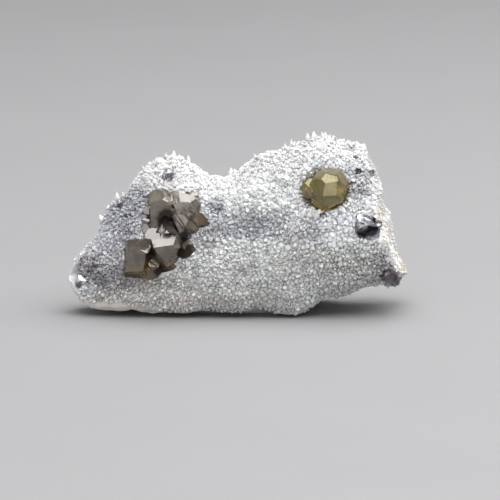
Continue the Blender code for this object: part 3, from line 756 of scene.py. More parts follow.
@dataclass(frozen=True)
class PlateForm:
    """The shape of the quartz plate, the same as that of its solid.

    Places on the front are given as they are seen from a little above: across, to the right of the
    middle, and up, over the table.
    """

    left_end: float = -50.2
    right_end: float = 55.0
    crest_line: Outline = (
        (-50.0, 11.6), (-48.2, 14.2), (-45.0, 18.6), (-42.0, 22.0), (-40.4, 25.4), (-38.4, 29.6),
        (-35.6, 33.0), (-31.6, 35.6), (-29.8, 39.4), (-26.4, 43.6), (-22.8, 45.6), (-18.0, 45.9),
        (-14.6, 44.4), (-11.8, 42.0), (-8.4, 40.6), (-4.0, 39.2), (-0.8, 40.4), (2.6, 43.4), (6.0, 46.0),
        (10.2, 47.2), (15.0, 49.0), (19.6, 50.8), (23.0, 52.4), (26.0, 52.8), (29.4, 51.4), (33.0, 50.0),
        (38.0, 49.2), (44.0, 47.8), (55.0, 45.0))
    rim_line: Outline = (
        (-50.0, 8.4), (-48.4, 5.2), (-46.0, 2.4), (-43.8, 0.6), (-39.2, 0.0), (-35.0, -0.3), (-31.4, 0.3),
        (-25.0, -1.1), (-21.0, 0.2), (-15.0, -1.1), (-11.0, -0.5), (-1.0, -0.1), (6.2, 0.7), (13.0, -1.3),
        (17.0, -1.0), (20.8, 0.4), (23.8, 2.6), (27.0, 4.4), (31.2, 4.6), (34.4, 5.8), (38.6, 7.4),
        (43.2, 8.0), (48.4, 7.6), (55.0, 8.4))
    front_reach: Outline = (
        (-50.0, -5.5), (-46.0, -9.5), (-38.0, -12.5), (-28.0, -14.5), (-10.0, -15.5), (10.0, -16.0),
        (28.0, -15.5), (40.0, -14.0), (48.0, -12.0), (55.0, -10.5))
    back_reach: Outline = (
        (-50.0, 1.0), (-46.0, 6.0), (-38.0, 12.0), (-25.0, 16.5), (-5.0, 18.5), (20.0, 18.5),
        (35.0, 17.5), (45.0, 16.0), (55.0, 14.0))
    crest_depth: Outline = (
        (-50.0, -2.0), (-46.0, -1.0), (-38.0, 1.0), (-28.0, 3.0), (-18.0, 4.5), (-4.0, 6.0),
        (10.0, 6.0), (25.0, 7.0), (40.0, 7.0), (55.0, 6.0))
    underside: Outline = (
        (-50.0, 9.0), (-46.0, 4.4), (-38.0, 1.6), (-25.0, -0.6), (17.0, -0.6), (24.0, 2.4),
        (34.0, 6.0), (44.0, 8.6), (55.0, 9.6))
    rest_flat: tuple[float, float, float, float] = (-24.0, 16.0, -4.5, 13.6)
    lower_edge_reach: float = 0.8
    lower_edge_least: float = 0.4
    under_reach: Pair = (0.9, 0.72)
    under_rise_from: float = 0.4
    front_profile: Outline = (
        (0.0, 0.20), (0.05, 0.09), (0.13, 0.02), (0.26, 0.0), (0.38, 0.03), (0.5, 0.12),
        (0.62, 0.25), (0.74, 0.41), (0.85, 0.60), (0.94, 0.82), (1.0, 1.0))
    back_profile: Outline = (
        (0.97, 0.72), (0.88, 0.46), (0.72, 0.28), (0.5, 0.14), (0.28, 0.03), (0.12, 0.0), (0.03, 0.08))
    break_line: Outline = (
        (36.9, 62.0), (38.6, 47.6), (40.8, 41.8), (42.8, 35.4), (44.2, 28.8), (45.8, 21.4),
        (47.2, 17.0), (49.4, 14.0), (51.0, 10.8), (50.2, 7.4), (48.6, 4.0), (47.4, -8.0))
    break_turn: float = 0.13
    break_pivot: float = 9.0
    bare_band: float = 3.2
    ledge_count: int = 3
    ledge_height: float = 4.2
    station_step: float = 0.85
    crust_rows: int = 78
    back_rows: int = 30
    under_rows: int = 18

    def ends_at(self, x: float) -> tuple[float, float, float, float, float]:
        """The reach to the front and back, the depth of the upper edge and the two heights at x.

        Args:
            x: How far along the plate.

        Returns:
            The front, the back, the crest's depth, the low height and the top height.
        """
        front, back = along(self.front_reach, x), along(self.back_reach, x)
        crest = along(self.crest_depth, x)
        top = height_of(along(self.crest_line, x), crest)
        low = max(height_of(along(self.rim_line, x), front * self.lower_edge_reach), self.lower_edge_least)
        return front, back, crest, low, top

    def break_across(self, depth: float, up: float) -> float:
        """Where the broken right side is at a depth and a height as seen from the front.

        Args:
            depth: How deep, in y.
            up: How high as seen from the front.

        Returns:
            How far along the plate the break is.
        """
        ups = [p[1] for p in reversed(self.break_line)]
        xs = [p[0] for p in reversed(self.break_line)]
        return float(np.interp(up, ups, xs)) + self.break_turn * (depth - self.break_pivot)

    @staticmethod
    def evenly(points: list[Vector], count: int) -> list[Vector]:
        """Points at even distances along a line through the given ones.

        Args:
            points: The line's corners.
            count: How many points to place.

        Returns:
            The new points.
        """
        reached = [0.0]
        for a, b in zip(points, points[1:]):
            reached.append(reached[-1] + (b - a).length)
        places = [reached[-1] * i / (count - 1) for i in range(count)]
        columns = [np.interp(places, reached, [p[axis] for p in points]) for axis in range(3)]
        return [Vector(p) for p in zip(*columns)]

    def outline_at(self, x: float) -> list[Vector]:
        """The smooth outline across the plate: up the front, over the edge, down the back and under.

        Args:
            x: How far along the plate.

        Returns:
            The closed outline's points, in order.
        """
        front, back, crest, low, top = self.ends_at(x)
        base = along(self.underside, x)
        face = [Vector((x, front + (crest - front) * way, low + (top - low) * share))
                for share, way in self.front_profile]
        rear = [Vector((x, back + (crest - back) * way, base + (top - base) * share))
                for share, way in self.back_profile]
        crusted = self.evenly(face + rear[:2], self.crust_rows)
        bare = self.evenly([crusted[-1]] + rear[2:], self.back_rows + 1)[1:]
        under = []
        rear_end, front_end = back * self.under_reach[0], front * self.under_reach[1]
        for i in range(self.under_rows):
            share = 0.02 + 0.94 * (i + 0.5) / self.under_rows
            rise = within((share - self.under_rise_from) / self.under_rise_from)
            under.append(Vector((x, rear_end + (front_end - rear_end) * share, base + (low - base) * rise)))
        return crusted + bare + under

    def roughness_at(self, point: Vector, back: bool) -> float:
        """The large lumps of the plate, as in its solid.

        Args:
            point: A place on the smooth plate.
            back: Whether it is behind.

        Returns:
            How far the surface moves out.
        """
        broad = noise.noise(point * 0.11)
        if not back:
            return 0.9 * broad + 0.5 * noise.noise(point * 0.31 + Vector((7.0, 3.0, 5.0)))
        stretched = Vector((point.x * 0.09, point.y * 0.05, point.z * 0.1)) + Vector((3.0, 9.0, 1.0))
        ledge = round(noise.noise(stretched) * self.ledge_count) / self.ledge_count
        return self.ledge_height * ledge + 1.4 * broad + 0.7 * noise.noise(point * 0.2)

    @staticmethod
    def fine_roughness(point: Vector, back: bool) -> float:
        """The small relief that only the visible plate has: grains in front, broken chips behind.

        Args:
            point: A place on the smooth plate.
            back: Whether it is behind.

        Returns:
            How far the surface moves out.
        """
        if not back:
            return 0.22 * noise.noise(point * 0.9) + 0.1 * noise.noise(point * 2.1)
        uneven = 0.3 * noise.noise(point * 0.5)
        chips = noise.cell(Vector((point.x * 0.42 + uneven, point.y * 0.4, point.z * 0.36)))
        return (0.5 * chips + 0.55 * noise.noise(point * 0.55) + 0.3 * noise.noise(point * 1.3)
                + 0.12 * noise.noise(point * 2.7))


@dataclass
class PlateSurface:
    """The fine surface of the plate as a grid, before its right side is broken off."""

    form: PlateForm
    full_height: float = 30.0
    crust_height: float = 12.0
    crust_lift: float = 0.25
    back_sink: float = 0.8
    sight: Triple = (0.0, 0.95, -0.31)
    count: int = 0
    size: int = 0
    points: np.ndarray = field(default_factory=lambda: np.zeros((0, 0, 3)))
    normals: np.ndarray = field(default_factory=lambda: np.zeros((0, 0, 3)))

    @staticmethod
    def outward(grid: np.ndarray) -> np.ndarray:
        """The unit normals of the grid.

        Args:
            grid: Its points, ring after ring.

        Returns:
            A normal for each point.
        """
        around = np.roll(grid, -1, axis=1) - np.roll(grid, 1, axis=1)
        normals = np.cross(around, np.gradient(grid, axis=0))
        return normals / np.maximum(np.linalg.norm(normals, axis=2, keepdims=True), TINY)

    def is_rest(self, point: Vector) -> bool:
        """Whether a point of the underside is in the flat that the specimen rests on."""
        x0, x1, y0, y1 = self.form.rest_flat
        return x0 <= point.x <= x1 and y0 <= point.y <= y1

    def roughen(self, smooth: np.ndarray) -> np.ndarray:
        """Gives the smooth grid its lumps, ledges and grains.

        Args:
            smooth: The grid's smooth points, ring after ring.

        Returns:
            The rough points, none of them below the table.
        """
        form, normals, moved = self.form, self.outward(smooth), smooth.copy()
        for i in range(self.count + 1):
            tall = np.linalg.norm(smooth[i, 0] - smooth[i, form.crust_rows])
            fade = min(1.0, tall / self.full_height)
            for j in range(self.size):
                point = Vector(smooth[i, j])
                if j < form.crust_rows:
                    lift = form.roughness_at(point, False) * min(1.0, tall / self.crust_height)
                    lift = lift + self.crust_lift + form.fine_roughness(point, False)
                    moved[i, j] += normals[i, j] * lift
                elif j < form.crust_rows + form.back_rows:
                    lift = form.roughness_at(point, True) - self.back_sink + form.fine_roughness(point, True)
                    ramp = min(1.0, (j - form.crust_rows + 1) / 4.0)
                    moved[i, j] += normals[i, j] * (lift * fade * ramp)
                elif self.is_rest(point):
                    moved[i, j, 2] = 0.0
                else:
                    moved[i, j, 2] += 0.5 * noise.noise(point * 0.23) + 0.2 * noise.noise(point * 0.9)
        moved[:, :, 2] = np.maximum(moved[:, :, 2], 0.0)
        return moved

    def build(self) -> None:
        """Works the grid out from the outlines across the plate."""
        form = self.form
        length = form.right_end - form.left_end
        self.count = round(length / form.station_step)
        rings = [form.outline_at(form.left_end + length * i / self.count) for i in range(self.count + 1)]
        self.size = len(rings[0])
        self.points = self.roughen(np.array([[tuple(p) for p in ring] for ring in rings]))
        self.normals = self.outward(self.points)

    def make_room(self, middle: np.ndarray, radius: float) -> None:
        """Sinks the surface behind a see-through crystal, so that the crystal has an inside.

        Args:
            middle: The crystal's middle.
            radius: How far round it there is room.
        """
        inward = np.array(self.sight)
        offset = self.points - middle
        distance = np.linalg.norm(offset, axis=2)
        rows, columns = np.nonzero(distance < radius)
        for i, j in zip(rows, columns):
            start = offset[i, j]
            slope = float(start @ inward)
            reach = -slope + math.sqrt(max(0.0, slope * slope - float(start @ start) + radius * radius))
            self.points[i, j] += inward * reach

    def make_mesh(self, name: str) -> bpy.types.Object:
        """The grid as a closed mesh.

        Args:
            name: The piece's name.

        Returns:
            The new object.
        """
        size, count = self.size, self.count
        faces = []
        for i in range(count):
            for j in range(size):
                k = (j + 1) % size
                a, b, c, d = i * size + j, (i + 1) * size + j, (i + 1) * size + k, i * size + k
                faces += [(a, b, d), (b, c, d)]
        faces.append(tuple(range(size)))
        faces.append(tuple(count * size + j for j in reversed(range(size))))
        return make_object(name, self.points.reshape(-1, 3), faces)


@dataclass(frozen=True)
class Tint:
    """A soft patch of colour on the crust, as seen from the front."""

    across: float
    up: float
    wide: float
    high: float
    colour: Colour
    strength: float = 1.0


@dataclass(frozen=True)
class CrustColours:
    """How the crust's colour changes over the specimen, painted light and shade included."""

    plain: Colour = (0.88, 0.89, 0.89)
    patches: tuple[Tint, ...] = (
        # Partly painted light and shade: the near-white patches along the top stand for the light from
        # above. The grey patches low on the front and at the left are partly the crust's own grey and partly
        # painted shade.
        Tint(0.0, 53.0, 62.0, 14.0, (0.95, 0.95, 0.955)),
        Tint(-18.0, 44.0, 12.0, 9.0, (0.99, 0.98, 0.97)),
        Tint(-2.0, 38.0, 10.0, 5.0, (0.99, 0.99, 0.99)),
        Tint(-38.0, 25.0, 9.0, 9.0, (0.42, 0.42, 0.455)),
        Tint(-30.0, 32.0, 7.0, 5.0, (0.44, 0.44, 0.48)),
        Tint(-40.5, 21.0, 4.0, 5.5, (0.68, 0.68, 0.74), 0.8),
        Tint(-42.0, 12.0, 7.0, 5.5, (0.28, 0.265, 0.29)),
        Tint(-34.0, 9.5, 8.0, 4.0, (0.34, 0.33, 0.36)),
        Tint(1.0, 25.0, 15.0, 4.4, (0.46, 0.47, 0.50)),
        Tint(-6.5, 29.5, 3.4, 3.6, (0.30, 0.31, 0.35), 0.8),
        Tint(-9.0, 21.0, 3.5, 5.0, (0.34, 0.33, 0.34), 0.7),
        Tint(20.0, 24.0, 8.0, 4.0, (0.60, 0.60, 0.63)),
        Tint(35.0, 38.0, 5.5, 5.0, (0.46, 0.46, 0.48)),
        Tint(26.0, 32.0, 4.0, 3.0, (0.54, 0.53, 0.52), 0.8),
        Tint(31.0, 26.0, 6.0, 4.0, (0.82, 0.84, 0.87)),
        Tint(43.0, 14.0, 6.0, 4.5, (0.38, 0.36, 0.38)),
        Tint(28.0, 12.0, 14.0, 6.0, (0.66, 0.66, 0.64)),
        Tint(0.0, 10.0, 22.0, 9.0, (0.8, 0.81, 0.79)),
        Tint(-26.0, 8.5, 9.0, 3.0, (0.52, 0.49, 0.44), 0.7),
        Tint(-22.0, 2.4, 30.0, 3.4, (0.9, 0.86, 0.82)),
    )

    def at(self, across: float, up: float, wander: float) -> np.ndarray:
        """The colour at a place, with patch edges that wander.

        Args:
            across: How far to the right.
            up: How high as seen from the front.
            wander: How far the patch edges are moved here.

        Returns:
            The colour.
        """
        colour = np.array(self.plain)
        for patch in self.patches:
            far = math.hypot((across - patch.across) / patch.wide, (up - patch.up) / patch.high)
            weight = within(1.5 - far + wander) * patch.strength
            weight = weight * weight * (3.0 - 2.0 * weight)
            colour = colour * (1.0 - weight) + np.array(patch.colour) * weight
        return colour


@dataclass(frozen=True)
class PointSize:
    """The size of the points of one habit, in millimetres, and how they stand."""

    habit: Habit
    width: Pair
    length: Pair
    closeness: float
    lean: float
    upwards: float
    tries: int


@dataclass
class QuartzPoints:
    """Many small quartz points gathered into one joined mesh."""

    draw: np.random.Generator
    feet: list[Vector] = field(default_factory=list)
    axes: list[Vector] = field(default_factory=list)
    widths: list[float] = field(default_factory=list)
    lengths: list[float] = field(default_factory=list)
    tints: list[np.ndarray] = field(default_factory=list)
    sink: float = 1.0

    def add(self, foot: Vector, axis: Vector, width: float, length: float, tint: np.ndarray) -> None:
        """Adds one quartz point.

        Args:
            foot: Where it stands.
            axis: Where it points to.
            width: How wide it is.
            length: How far its tip is from its foot.
            tint: Its colour.
        """
        self.feet.append(foot)
        self.axes.append(axis)
        self.widths.append(width)
        self.lengths.append(length)
        self.tints.append(tint)

    def make(self, name: str) -> bpy.types.Object:
        """Joins all the points in one mesh, each a six-sided prism with an uneven pyramid.

        Args:
            name: The piece's name.

        Returns:
            The joined object, with its colours.
        """
        count = len(self.feet)
        foot = np.array([tuple(p) for p in self.feet])
        axis = np.array([tuple(p) for p in self.axes])
        width = np.array(self.widths)[:, None]
        length = np.array(self.lengths)[:, None]
        upright = np.abs(axis[:, 2:3]) > 0.9
        helper = np.where(upright, np.array([[1.0, 0.0, 0.0]]), np.array([[0.0, 0.0, 1.0]]))
        side = np.cross(axis, helper)
        side /= np.linalg.norm(side, axis=1, keepdims=True)
        other = np.cross(axis, side)
        turn = self.draw.uniform(0.0, math.tau, (count, 1))
        flat = self.draw.uniform(0.72, 1.1, (count, 1))
        side, other = (np.cos(turn) * side + np.sin(turn) * other,
                       (np.cos(turn) * other - np.sin(turn) * side) * flat)
        twist = self.draw.uniform(0.0, math.tau, (count, 1))
        tip = np.minimum(length * 0.85, width * self.draw.uniform(0.7, 1.3, (count, 1)))
        verts = np.zeros((count, 13, 3))
        for i in range(6):
            angle = twist + math.tau * i / 6.0
            stretch = self.draw.uniform(0.78, 1.16, (count, 1))
            around = (np.cos(angle) * side + np.sin(angle) * other) * width * 0.5 * stretch
            uneven = width * (self.draw.uniform(-0.12, 0.12, (count, 1)) + 0.12 * (-1.0) ** i)
            verts[:, i] = foot - axis * self.sink + around * 0.9
            verts[:, 6 + i] = foot + axis * (length - tip + uneven) + around
        slip = side * self.draw.normal(0.0, 0.14, (count, 1))
        slip = slip + other * self.draw.normal(0.0, 0.14, (count, 1))
        verts[:, 12] = foot + axis * length + slip * width
        pattern = [tuple(reversed(range(6)))]
        pattern += [(i, (i + 1) % 6, 6 + (i + 1) % 6, 6 + i) for i in range(6)]
        pattern += [(6 + i, 6 + (i + 1) % 6, 12) for i in range(6)]
        faces = [tuple(13 * n + i for i in face) for n in range(count) for face in pattern]
        thing = make_object(name, verts.reshape(-1, 3), faces)
        tints = np.repeat(np.array(self.tints), 13, axis=0)
        tints *= self.draw.uniform(0.97, 1.02, (count * 13, 1))
        paint(thing, tints)
        return thing


def paint(thing: bpy.types.Object, tints: np.ndarray) -> None:
    """Stores a colour for each point of a mesh.

    Args:
        thing: The object.
        tints: A colour for each of its points.
    """
    colours = np.ones((len(thing.data.vertices), 4))
    colours[:, :3] = np.clip(tints, 0.0, 1.0)
    layer = thing.data.color_attributes.new("tint", "FLOAT_COLOR", "POINT")
    layer.data.foreach_set("color", colours.ravel())


def rock_colour(point: Vector) -> np.ndarray:
    """The colour of the broken quartz at a place: cream, with grey and rusty parts.

    Args:
        point: A place on the broken quartz.

    Returns:
        The colour.
    """
    grey = within(0.5 + 1.3 * noise.noise(point * 0.085 + Vector((4.0, 1.0, 2.0))))
    rusty = 0.55 * within(2.4 * noise.noise(point * 0.06 + Vector((1.0, 8.0, 5.0))) - 0.45)
    plain = np.array(ROCK_CREAM) * (1.0 - grey) + np.array(ROCK_GREY) * grey
    return plain * (1.0 - rusty) + np.array(ROCK_RUST) * rusty


class NearbyPoints:
    """Remembers where points stand, to keep new ones at their distance."""

    def __init__(self, cell: float) -> None:
        """Starts with no points, in cells a little larger than the widest spacing."""
        self.cell = cell
        self.cells: dict[tuple[int, int, int], list[tuple[float, float, float, float]]] = {}

    def key_of(self, point: np.ndarray) -> tuple[int, ...]:
        """The cell that a point is in."""
        return tuple(int(math.floor(c / self.cell)) for c in point)

    def is_free(self, point: np.ndarray, radius: float) -> bool:
        """Whether no point that is remembered stands too near.

        Args:
            point: Where a new point would stand.
            radius: The room that it takes.

        Returns:
            Whether there is room.
        """
        a, b, c = self.key_of(point)
        for i, j, k in itertools.product((-1, 0, 1), repeat=3):
            for x, y, z, other in self.cells.get((a + i, b + j, c + k), ()):
                gap = (x - point[0]) ** 2 + (y - point[1]) ** 2 + (z - point[2]) ** 2
                if gap < (radius + other) ** 2:
                    return False
        return True

    def keep(self, point: np.ndarray, radius: float) -> None:
        """Remembers a point."""
        x, y, z = (float(c) for c in point)
        self.cells.setdefault(self.key_of(point), []).append((x, y, z, radius))


class OtherMinerals:
    """The solids of the other minerals, which the quartz points keep out of."""

    def __init__(self, names: list[str]) -> None:
        """Gathers the faces of the named nodes in one search tree.

        Args:
            names: The nodes to keep out of.
        """
        verts: list[Vector] = []
        faces: list[tuple[int, ...]] = []
        for name in names:
            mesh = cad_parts[name].data
            start = len(verts)
            verts += [v.co / MM for v in mesh.vertices]
            faces += [tuple(start + i for i in p.vertices) for p in mesh.polygons]
        self.tree = BVHTree.FromPolygons(verts, faces)
        self.inward = Vector((0.0, math.cos(VIEW_TILT), -math.sin(VIEW_TILT)))

    def is_behind(self, point: Vector, reach: float = 9.0) -> bool:
        """Whether a mineral is seen behind a point from the front."""
        return self.tree.ray_cast(point, self.inward, reach)[0] is not None

    def depth_inside(self, point: Vector) -> float:
        """How far a point is inside a mineral, or minus its distance if it is outside."""
        place, normal, _, distance = self.tree.find_nearest(point)
        return distance if (point - place).dot(normal) < 0.0 else -distance


@dataclass
class QuartzPlate:
    """The quartz: the fine plate and the crust of small points on it."""

    form: PlateForm = field(default_factory=PlateForm)
    colours: CrustColours = field(default_factory=CrustColours)
    seed: int = 7
    widest_spacing: float = 3.2
    room_share: float = 0.34
    break_roughness: float = 1.1
    break_ledge: float = 2.0
    break_step: float = 1.3
    break_sharp: float = math.radians(38.0)
    tip_width: Pair = (1.15, 1.65)
    tip_tint: Colour = (0.98, 0.98, 0.98)
    tint_spread: Pair = (0.92, 1.04)
    foot_gap: float = 0.1
    tip_gap: float = 0.15
    tall_tips: Outline = (
        (-41.3, 28.8), (-38.8, 31.7), (-35.7, 35.7), (-34.0, 35.5), (-31.9, 38.0), (-30.5, 39.5),
        (-28.2, 43.5), (-25.9, 44.7), (-24.0, 46.0), (-21.0, 47.4), (-19.9, 46.6), (-18.7, 48.1),
        (-17.4, 46.8), (-14.6, 46.6), (-12.5, 43.0), (-7.2, 40.7), (-5.5, 40.5), (-1.8, 43.0),
        (-0.9, 42.6), (5.2, 47.2), (6.5, 47.0), (9.4, 48.1), (14.7, 50.0), (16.5, 51.4), (17.4, 51.0),
        (20.9, 53.3), (22.8, 53.9), (25.4, 53.7), (26.7, 53.5), (28.9, 52.7), (34.7, 50.6), (38.1, 49.5))
    sizes: tuple[PointSize, ...] = (
        PointSize(Habit.EDGE, (0.75, 1.3), (1.4, 2.8), 0.46, 0.5, 0.6, 7600),
        PointSize(Habit.FRINGE, (1.2, 2.0), (2.0, 3.4), 0.4, 0.5, -0.8, 4200),
        PointSize(Habit.CRUST, (0.8, 1.8), (1.1, 2.3), 0.37, 0.9, 0.35, 20000),
        PointSize(Habit.FILL, (0.55, 1.0), (0.9, 1.6), 0.31, 0.8, 0.2, 44000),
    )
    large_places: tuple[tuple[float, float, float, float, float], ...] = (
        (31.0, 25.5, 7.0, 6.0, 0.7), (38.0, 31.0, 4.0, 3.0, 0.6), (8.0, 36.0, 7.0, 3.0, 0.3),
        (25.0, 36.0, 5.0, 3.0, 0.35), (-40.0, 20.0, 5.0, 5.0, 0.25))
    surface: PlateSurface = field(init=False)
    minerals: OtherMinerals = field(init=False)
    nearby: NearbyPoints = field(init=False)

    def tint_at(self, point: Vector) -> np.ndarray:
        """The crust's colour at a point.

        Args:
            point: A place on the crust.

        Returns:
            The colour.
        """
        wander = 0.55 * noise.noise(point * 0.16) + 0.3 * noise.noise(point * 0.45)
        colour = self.colours.at(point.x, seen_up(point), wander)
        mottle = noise.noise(point * 0.5 + Vector((2.0, 6.0, 9.0)))
        return colour * (1.0 + 0.5 * mottle * (1.0 - float(colour.mean())))

    def build(self) -> list[bpy.types.Object]:
        """Builds the plate and its crust.

        Returns:
            The plate's piece and the pieces of the crust.
        """
        others = [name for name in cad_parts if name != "quartz_matrix"]
        self.minerals = OtherMinerals(others)
        self.surface = PlateSurface(self.form)
        self.surface.build()
        self.nearby = NearbyPoints(self.widest_spacing)
        low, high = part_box("sphalerite_yellow")
        middle = np.array((low + high) / 2) / MM
        self.surface.make_room(middle, float((high - low).length) / MM * self.room_share)
        plate = self.break_off(self.surface.make_mesh("quartz_plate"))
        self.colour_plate(plate)
        crust = [self.grow(size) for size in self.sizes]
        grains = BrokenGrains(np.random.default_rng(self.seed + 3)).make(plate, self.form)
        pieces = [plate, *crust, grains]
        for piece in pieces:
            finish = MassiveQuartzFinish() if piece in (plate, grains) else QuartzPointFinish()
            piece.data.materials.append(finish.material())
            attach(piece, "root")
        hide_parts("quartz_matrix")
        return pieces

    def break_place(self, depth: float, up: float) -> Triple:
        """A place on the rough break.

        Args:
            depth: How deep, in y.
            up: How high as seen from the front.

        Returns:
            Its place in the plate.
        """
        ledge = noise.noise(Vector((depth * 0.08, up * 0.06, 6.0)))
        across = self.form.break_across(depth, up)
        across += self.break_roughness * noise.noise(Vector((depth, up, 2.0)) * 0.21)
        across += self.break_ledge * round(ledge * self.form.ledge_count) / self.form.ledge_count
        across += 0.45 * noise.noise(Vector((depth, up, 9.0)) * 0.6)
        across += 0.3 * noise.cell(Vector((depth * 0.5, up * 0.45, 3.0)))
        return across, depth, height_of(up, depth)

    def block_beyond_break(self) -> bpy.types.Object:
        """A closed block on the right of the break, with the break's rough face.

        Returns:
            The block's object, which cuts the plate.
        """
        depths = np.arange(-30.0, 36.0, self.break_step)
        ups = np.arange(66.0, -12.0, -self.break_step)
        rows, columns = len(depths), len(ups)
        verts = [self.break_place(depth, up) for depth in depths for up in ups]
        far = len(verts)
        verts += [(80.0, y, z) for _, y, z in verts]
        faces = []
        for i in range(rows - 1):
            for j in range(columns - 1):
                a, b = i * columns + j, (i + 1) * columns + j
                faces += [(a, a + 1, b), (a + 1, b + 1, b)]
                faces += [(far + a, far + b, far + a + 1), (far + a + 1, far + b, far + b + 1)]
        for i in range(rows - 1):
            for j in (0, columns - 1):
                a, b = i * columns + j, (i + 1) * columns + j
                faces.append((a, b, far + b, far + a))
        for j in range(columns - 1):
            for i in (0, rows - 1):
                a = i * columns + j
                faces.append((a, far + a, far + a + 1, a + 1))
        return make_object("break_cutter", verts, faces)

    def break_off(self, plate: bpy.types.Object) -> bpy.types.Object:
        """Breaks the right side off with the block beyond the break.

        Args:
            plate: The whole plate.

        Returns:
            The same object, with its broken side.
        """
        cutter = self.block_beyond_break()
        for thing in (plate, cutter):
            bm = bmesh.new()
            bm.from_mesh(thing.data)
            bmesh.ops.recalc_face_normals(bm, faces=bm.faces)
            bm.to_mesh(thing.data)
            bm.free()
        modifier = plate.modifiers.new("break", "BOOLEAN")
        modifier.operation = "DIFFERENCE"
        modifier.solver = "EXACT"
        modifier.object = cutter
        broken = bpy.data.meshes.new_from_object(plate.evaluated_get(bpy.context.evaluated_depsgraph_get()))
        plate.modifiers.clear()
        plate.data = broken
        bpy.data.objects.remove(cutter)
        broken.shade_smooth()
        broken.set_sharp_from_angle(angle=self.break_sharp)
        return plate

    def colour_plate(self, plate: bpy.types.Object) -> None:
        """Gives the plate the crust's colours in front and plain broken quartz behind.

        Args:
            plate: The plate.
        """
        tints = []
        for vertex in plate.data.vertices:
            point = vertex.co / MM
            crust = self.tint_at(point)
            behind = within((vertex.normal.y + 0.1) / 0.4)
            tints.append(crust * 0.92 * (1.0 - behind) + rock_colour(point) * behind)
        paint(plate, np.array(tints))

    def sample(self, draw: random.Random, size: PointSize) -> tuple[Vector, Vector] | None:
        """A random place on the crusted face that suits a habit, with its normal.

        Args:
            draw: The habit's random numbers.
            size: The habit's sizes.

        Returns:
            The place and its normal.
        """
        form, surface = self.form, self.surface
        i = draw.uniform(1.0, surface.count - 1.001)
        if size.habit is Habit.EDGE:
            j = draw.uniform(form.crust_rows * 0.72, form.crust_rows + 2.0)
        elif size.habit is Habit.FRINGE:
            j = draw.uniform(-4.0, 7.0) % surface.size
        else:
            j = draw.uniform(0.5, form.crust_rows - 1.0)
        a, b = int(i), int(j)
        across, upward = i - a, j - b
        c = (b + 1) % surface.size
        corner = surface.points
        point = ((corner[a, b] * (1 - across) + corner[a + 1, b] * across) * (1 - upward)
                 + (corner[a, c] * (1 - across) + corner[a + 1, c] * across) * upward)
        return Vector(point), Vector(surface.normals[a, b])

    def suits(self, point: Vector, size: PointSize, draw: random.Random) -> bool:
        """Whether a point of a habit may grow at a place.

        Args:
            point: The place.
            size: The habit's sizes.
            draw: The habit's random numbers.

        Returns:
            Whether a point may grow there.
        """
        up = seen_up(point)
        edge = self.form.break_across(point.y, up)
        if point.x > edge - self.form.bare_band * (0.2 + 0.25 * noise.noise(point * 0.4)):
            return False
        if size.habit is Habit.FRINGE:
            return point.x > 17.0 + 3.0 * draw.random()
        rim_top = 2.3 + 2.2 * within((-20.0 - point.x) / 12.0) + noise.noise(point * 0.3)
        if point.x < -46.5 - 0.8 * noise.noise(point * 0.5) and up < 15.0:
            return False
        return point.x > 17.0 or point.z > rim_top

    def larger_at(self, point: Vector) -> float:
        """How much wider the points grow at a place than elsewhere.

        Args:
            point: A place on the crust.

        Returns:
            The factor on the width.
        """
        up = seen_up(point)
        most = 0.0
        for across, height, wide, high, more in self.large_places:
            far = ((point.x - across) / wide) ** 2 + ((up - height) / high) ** 2
            most = max(most, more * math.exp(-far))
        return 1.0 + most

    def grow(self, size: PointSize) -> bpy.types.Object:
        """Grows all the points of one habit.

        Args:
            size: The habit's sizes.

        Returns:
            One joined piece of all its points.
        """
        draw = random.Random(self.seed + len(size.habit.value))
        points = QuartzPoints(np.random.default_rng(self.seed))
        if size.habit is Habit.EDGE:
            self.raise_tall_tips(points, draw)
        for _ in range(size.tries):
            point, normal = self.sample(draw, size)
            width = draw.uniform(*size.width)
            if not self.suits(point, size, draw):
                continue
            width *= self.larger_at(point)
            radius = width * size.closeness
            place = np.array(tuple(point))
            if not self.nearby.is_free(place, radius):
                continue
            if self.minerals.depth_inside(point) > -self.foot_gap:
                continue
            length = draw.uniform(*size.length) * (0.75 + 0.25 * width / size.width[1])
            sideways = Vector((draw.uniform(-1, 1), draw.uniform(-1, 1), draw.uniform(-1, 1)))
            axis = (normal + sideways * size.lean + Vector((0.0, 0.0, size.upwards))).normalized()
            tip = point + axis * length
            if self.minerals.depth_inside(tip) > -self.tip_gap:
                continue
            if self.minerals.is_behind(point) or self.minerals.is_behind(tip):
                continue
            self.nearby.keep(place, radius)
            points.add(point, axis, width, length, self.tint_at(point) * draw.uniform(*self.tint_spread))
        thing = points.make("quartz_" + size.habit.value)
        LOG.info("%s: %d points", thing.name, len(points.feet))
        return thing

    def raise_tall_tips(self, points: QuartzPoints, draw: random.Random) -> None:
        """Stands the slender points whose tips make the upper outline.

        Args:
            points: The points to add to.
            draw: The habit's random numbers.
        """
        form, surface = self.form, self.surface
        band = surface.points[:, int(form.crust_rows * 0.6):form.crust_rows + 3].reshape(-1, 3)
        band_ups = seen_ups(band)
        for across, up in self.tall_tips:
            lean = draw.uniform(-0.5, 0.5)
            far = np.hypot(band[:, 0] - across - lean, (band_ups - up + 1.6) * 0.8)
            foot = Vector(band[int(np.argmin(far))])
            depth = foot.y + draw.uniform(-0.5, 0.3)
            tip = Vector((across, depth, height_of(up, depth)))
            axis, length = (tip - foot).normalized(), (tip - foot).length
            points.add(foot, axis, draw.uniform(*self.tip_width), length, np.array(self.tip_tint))


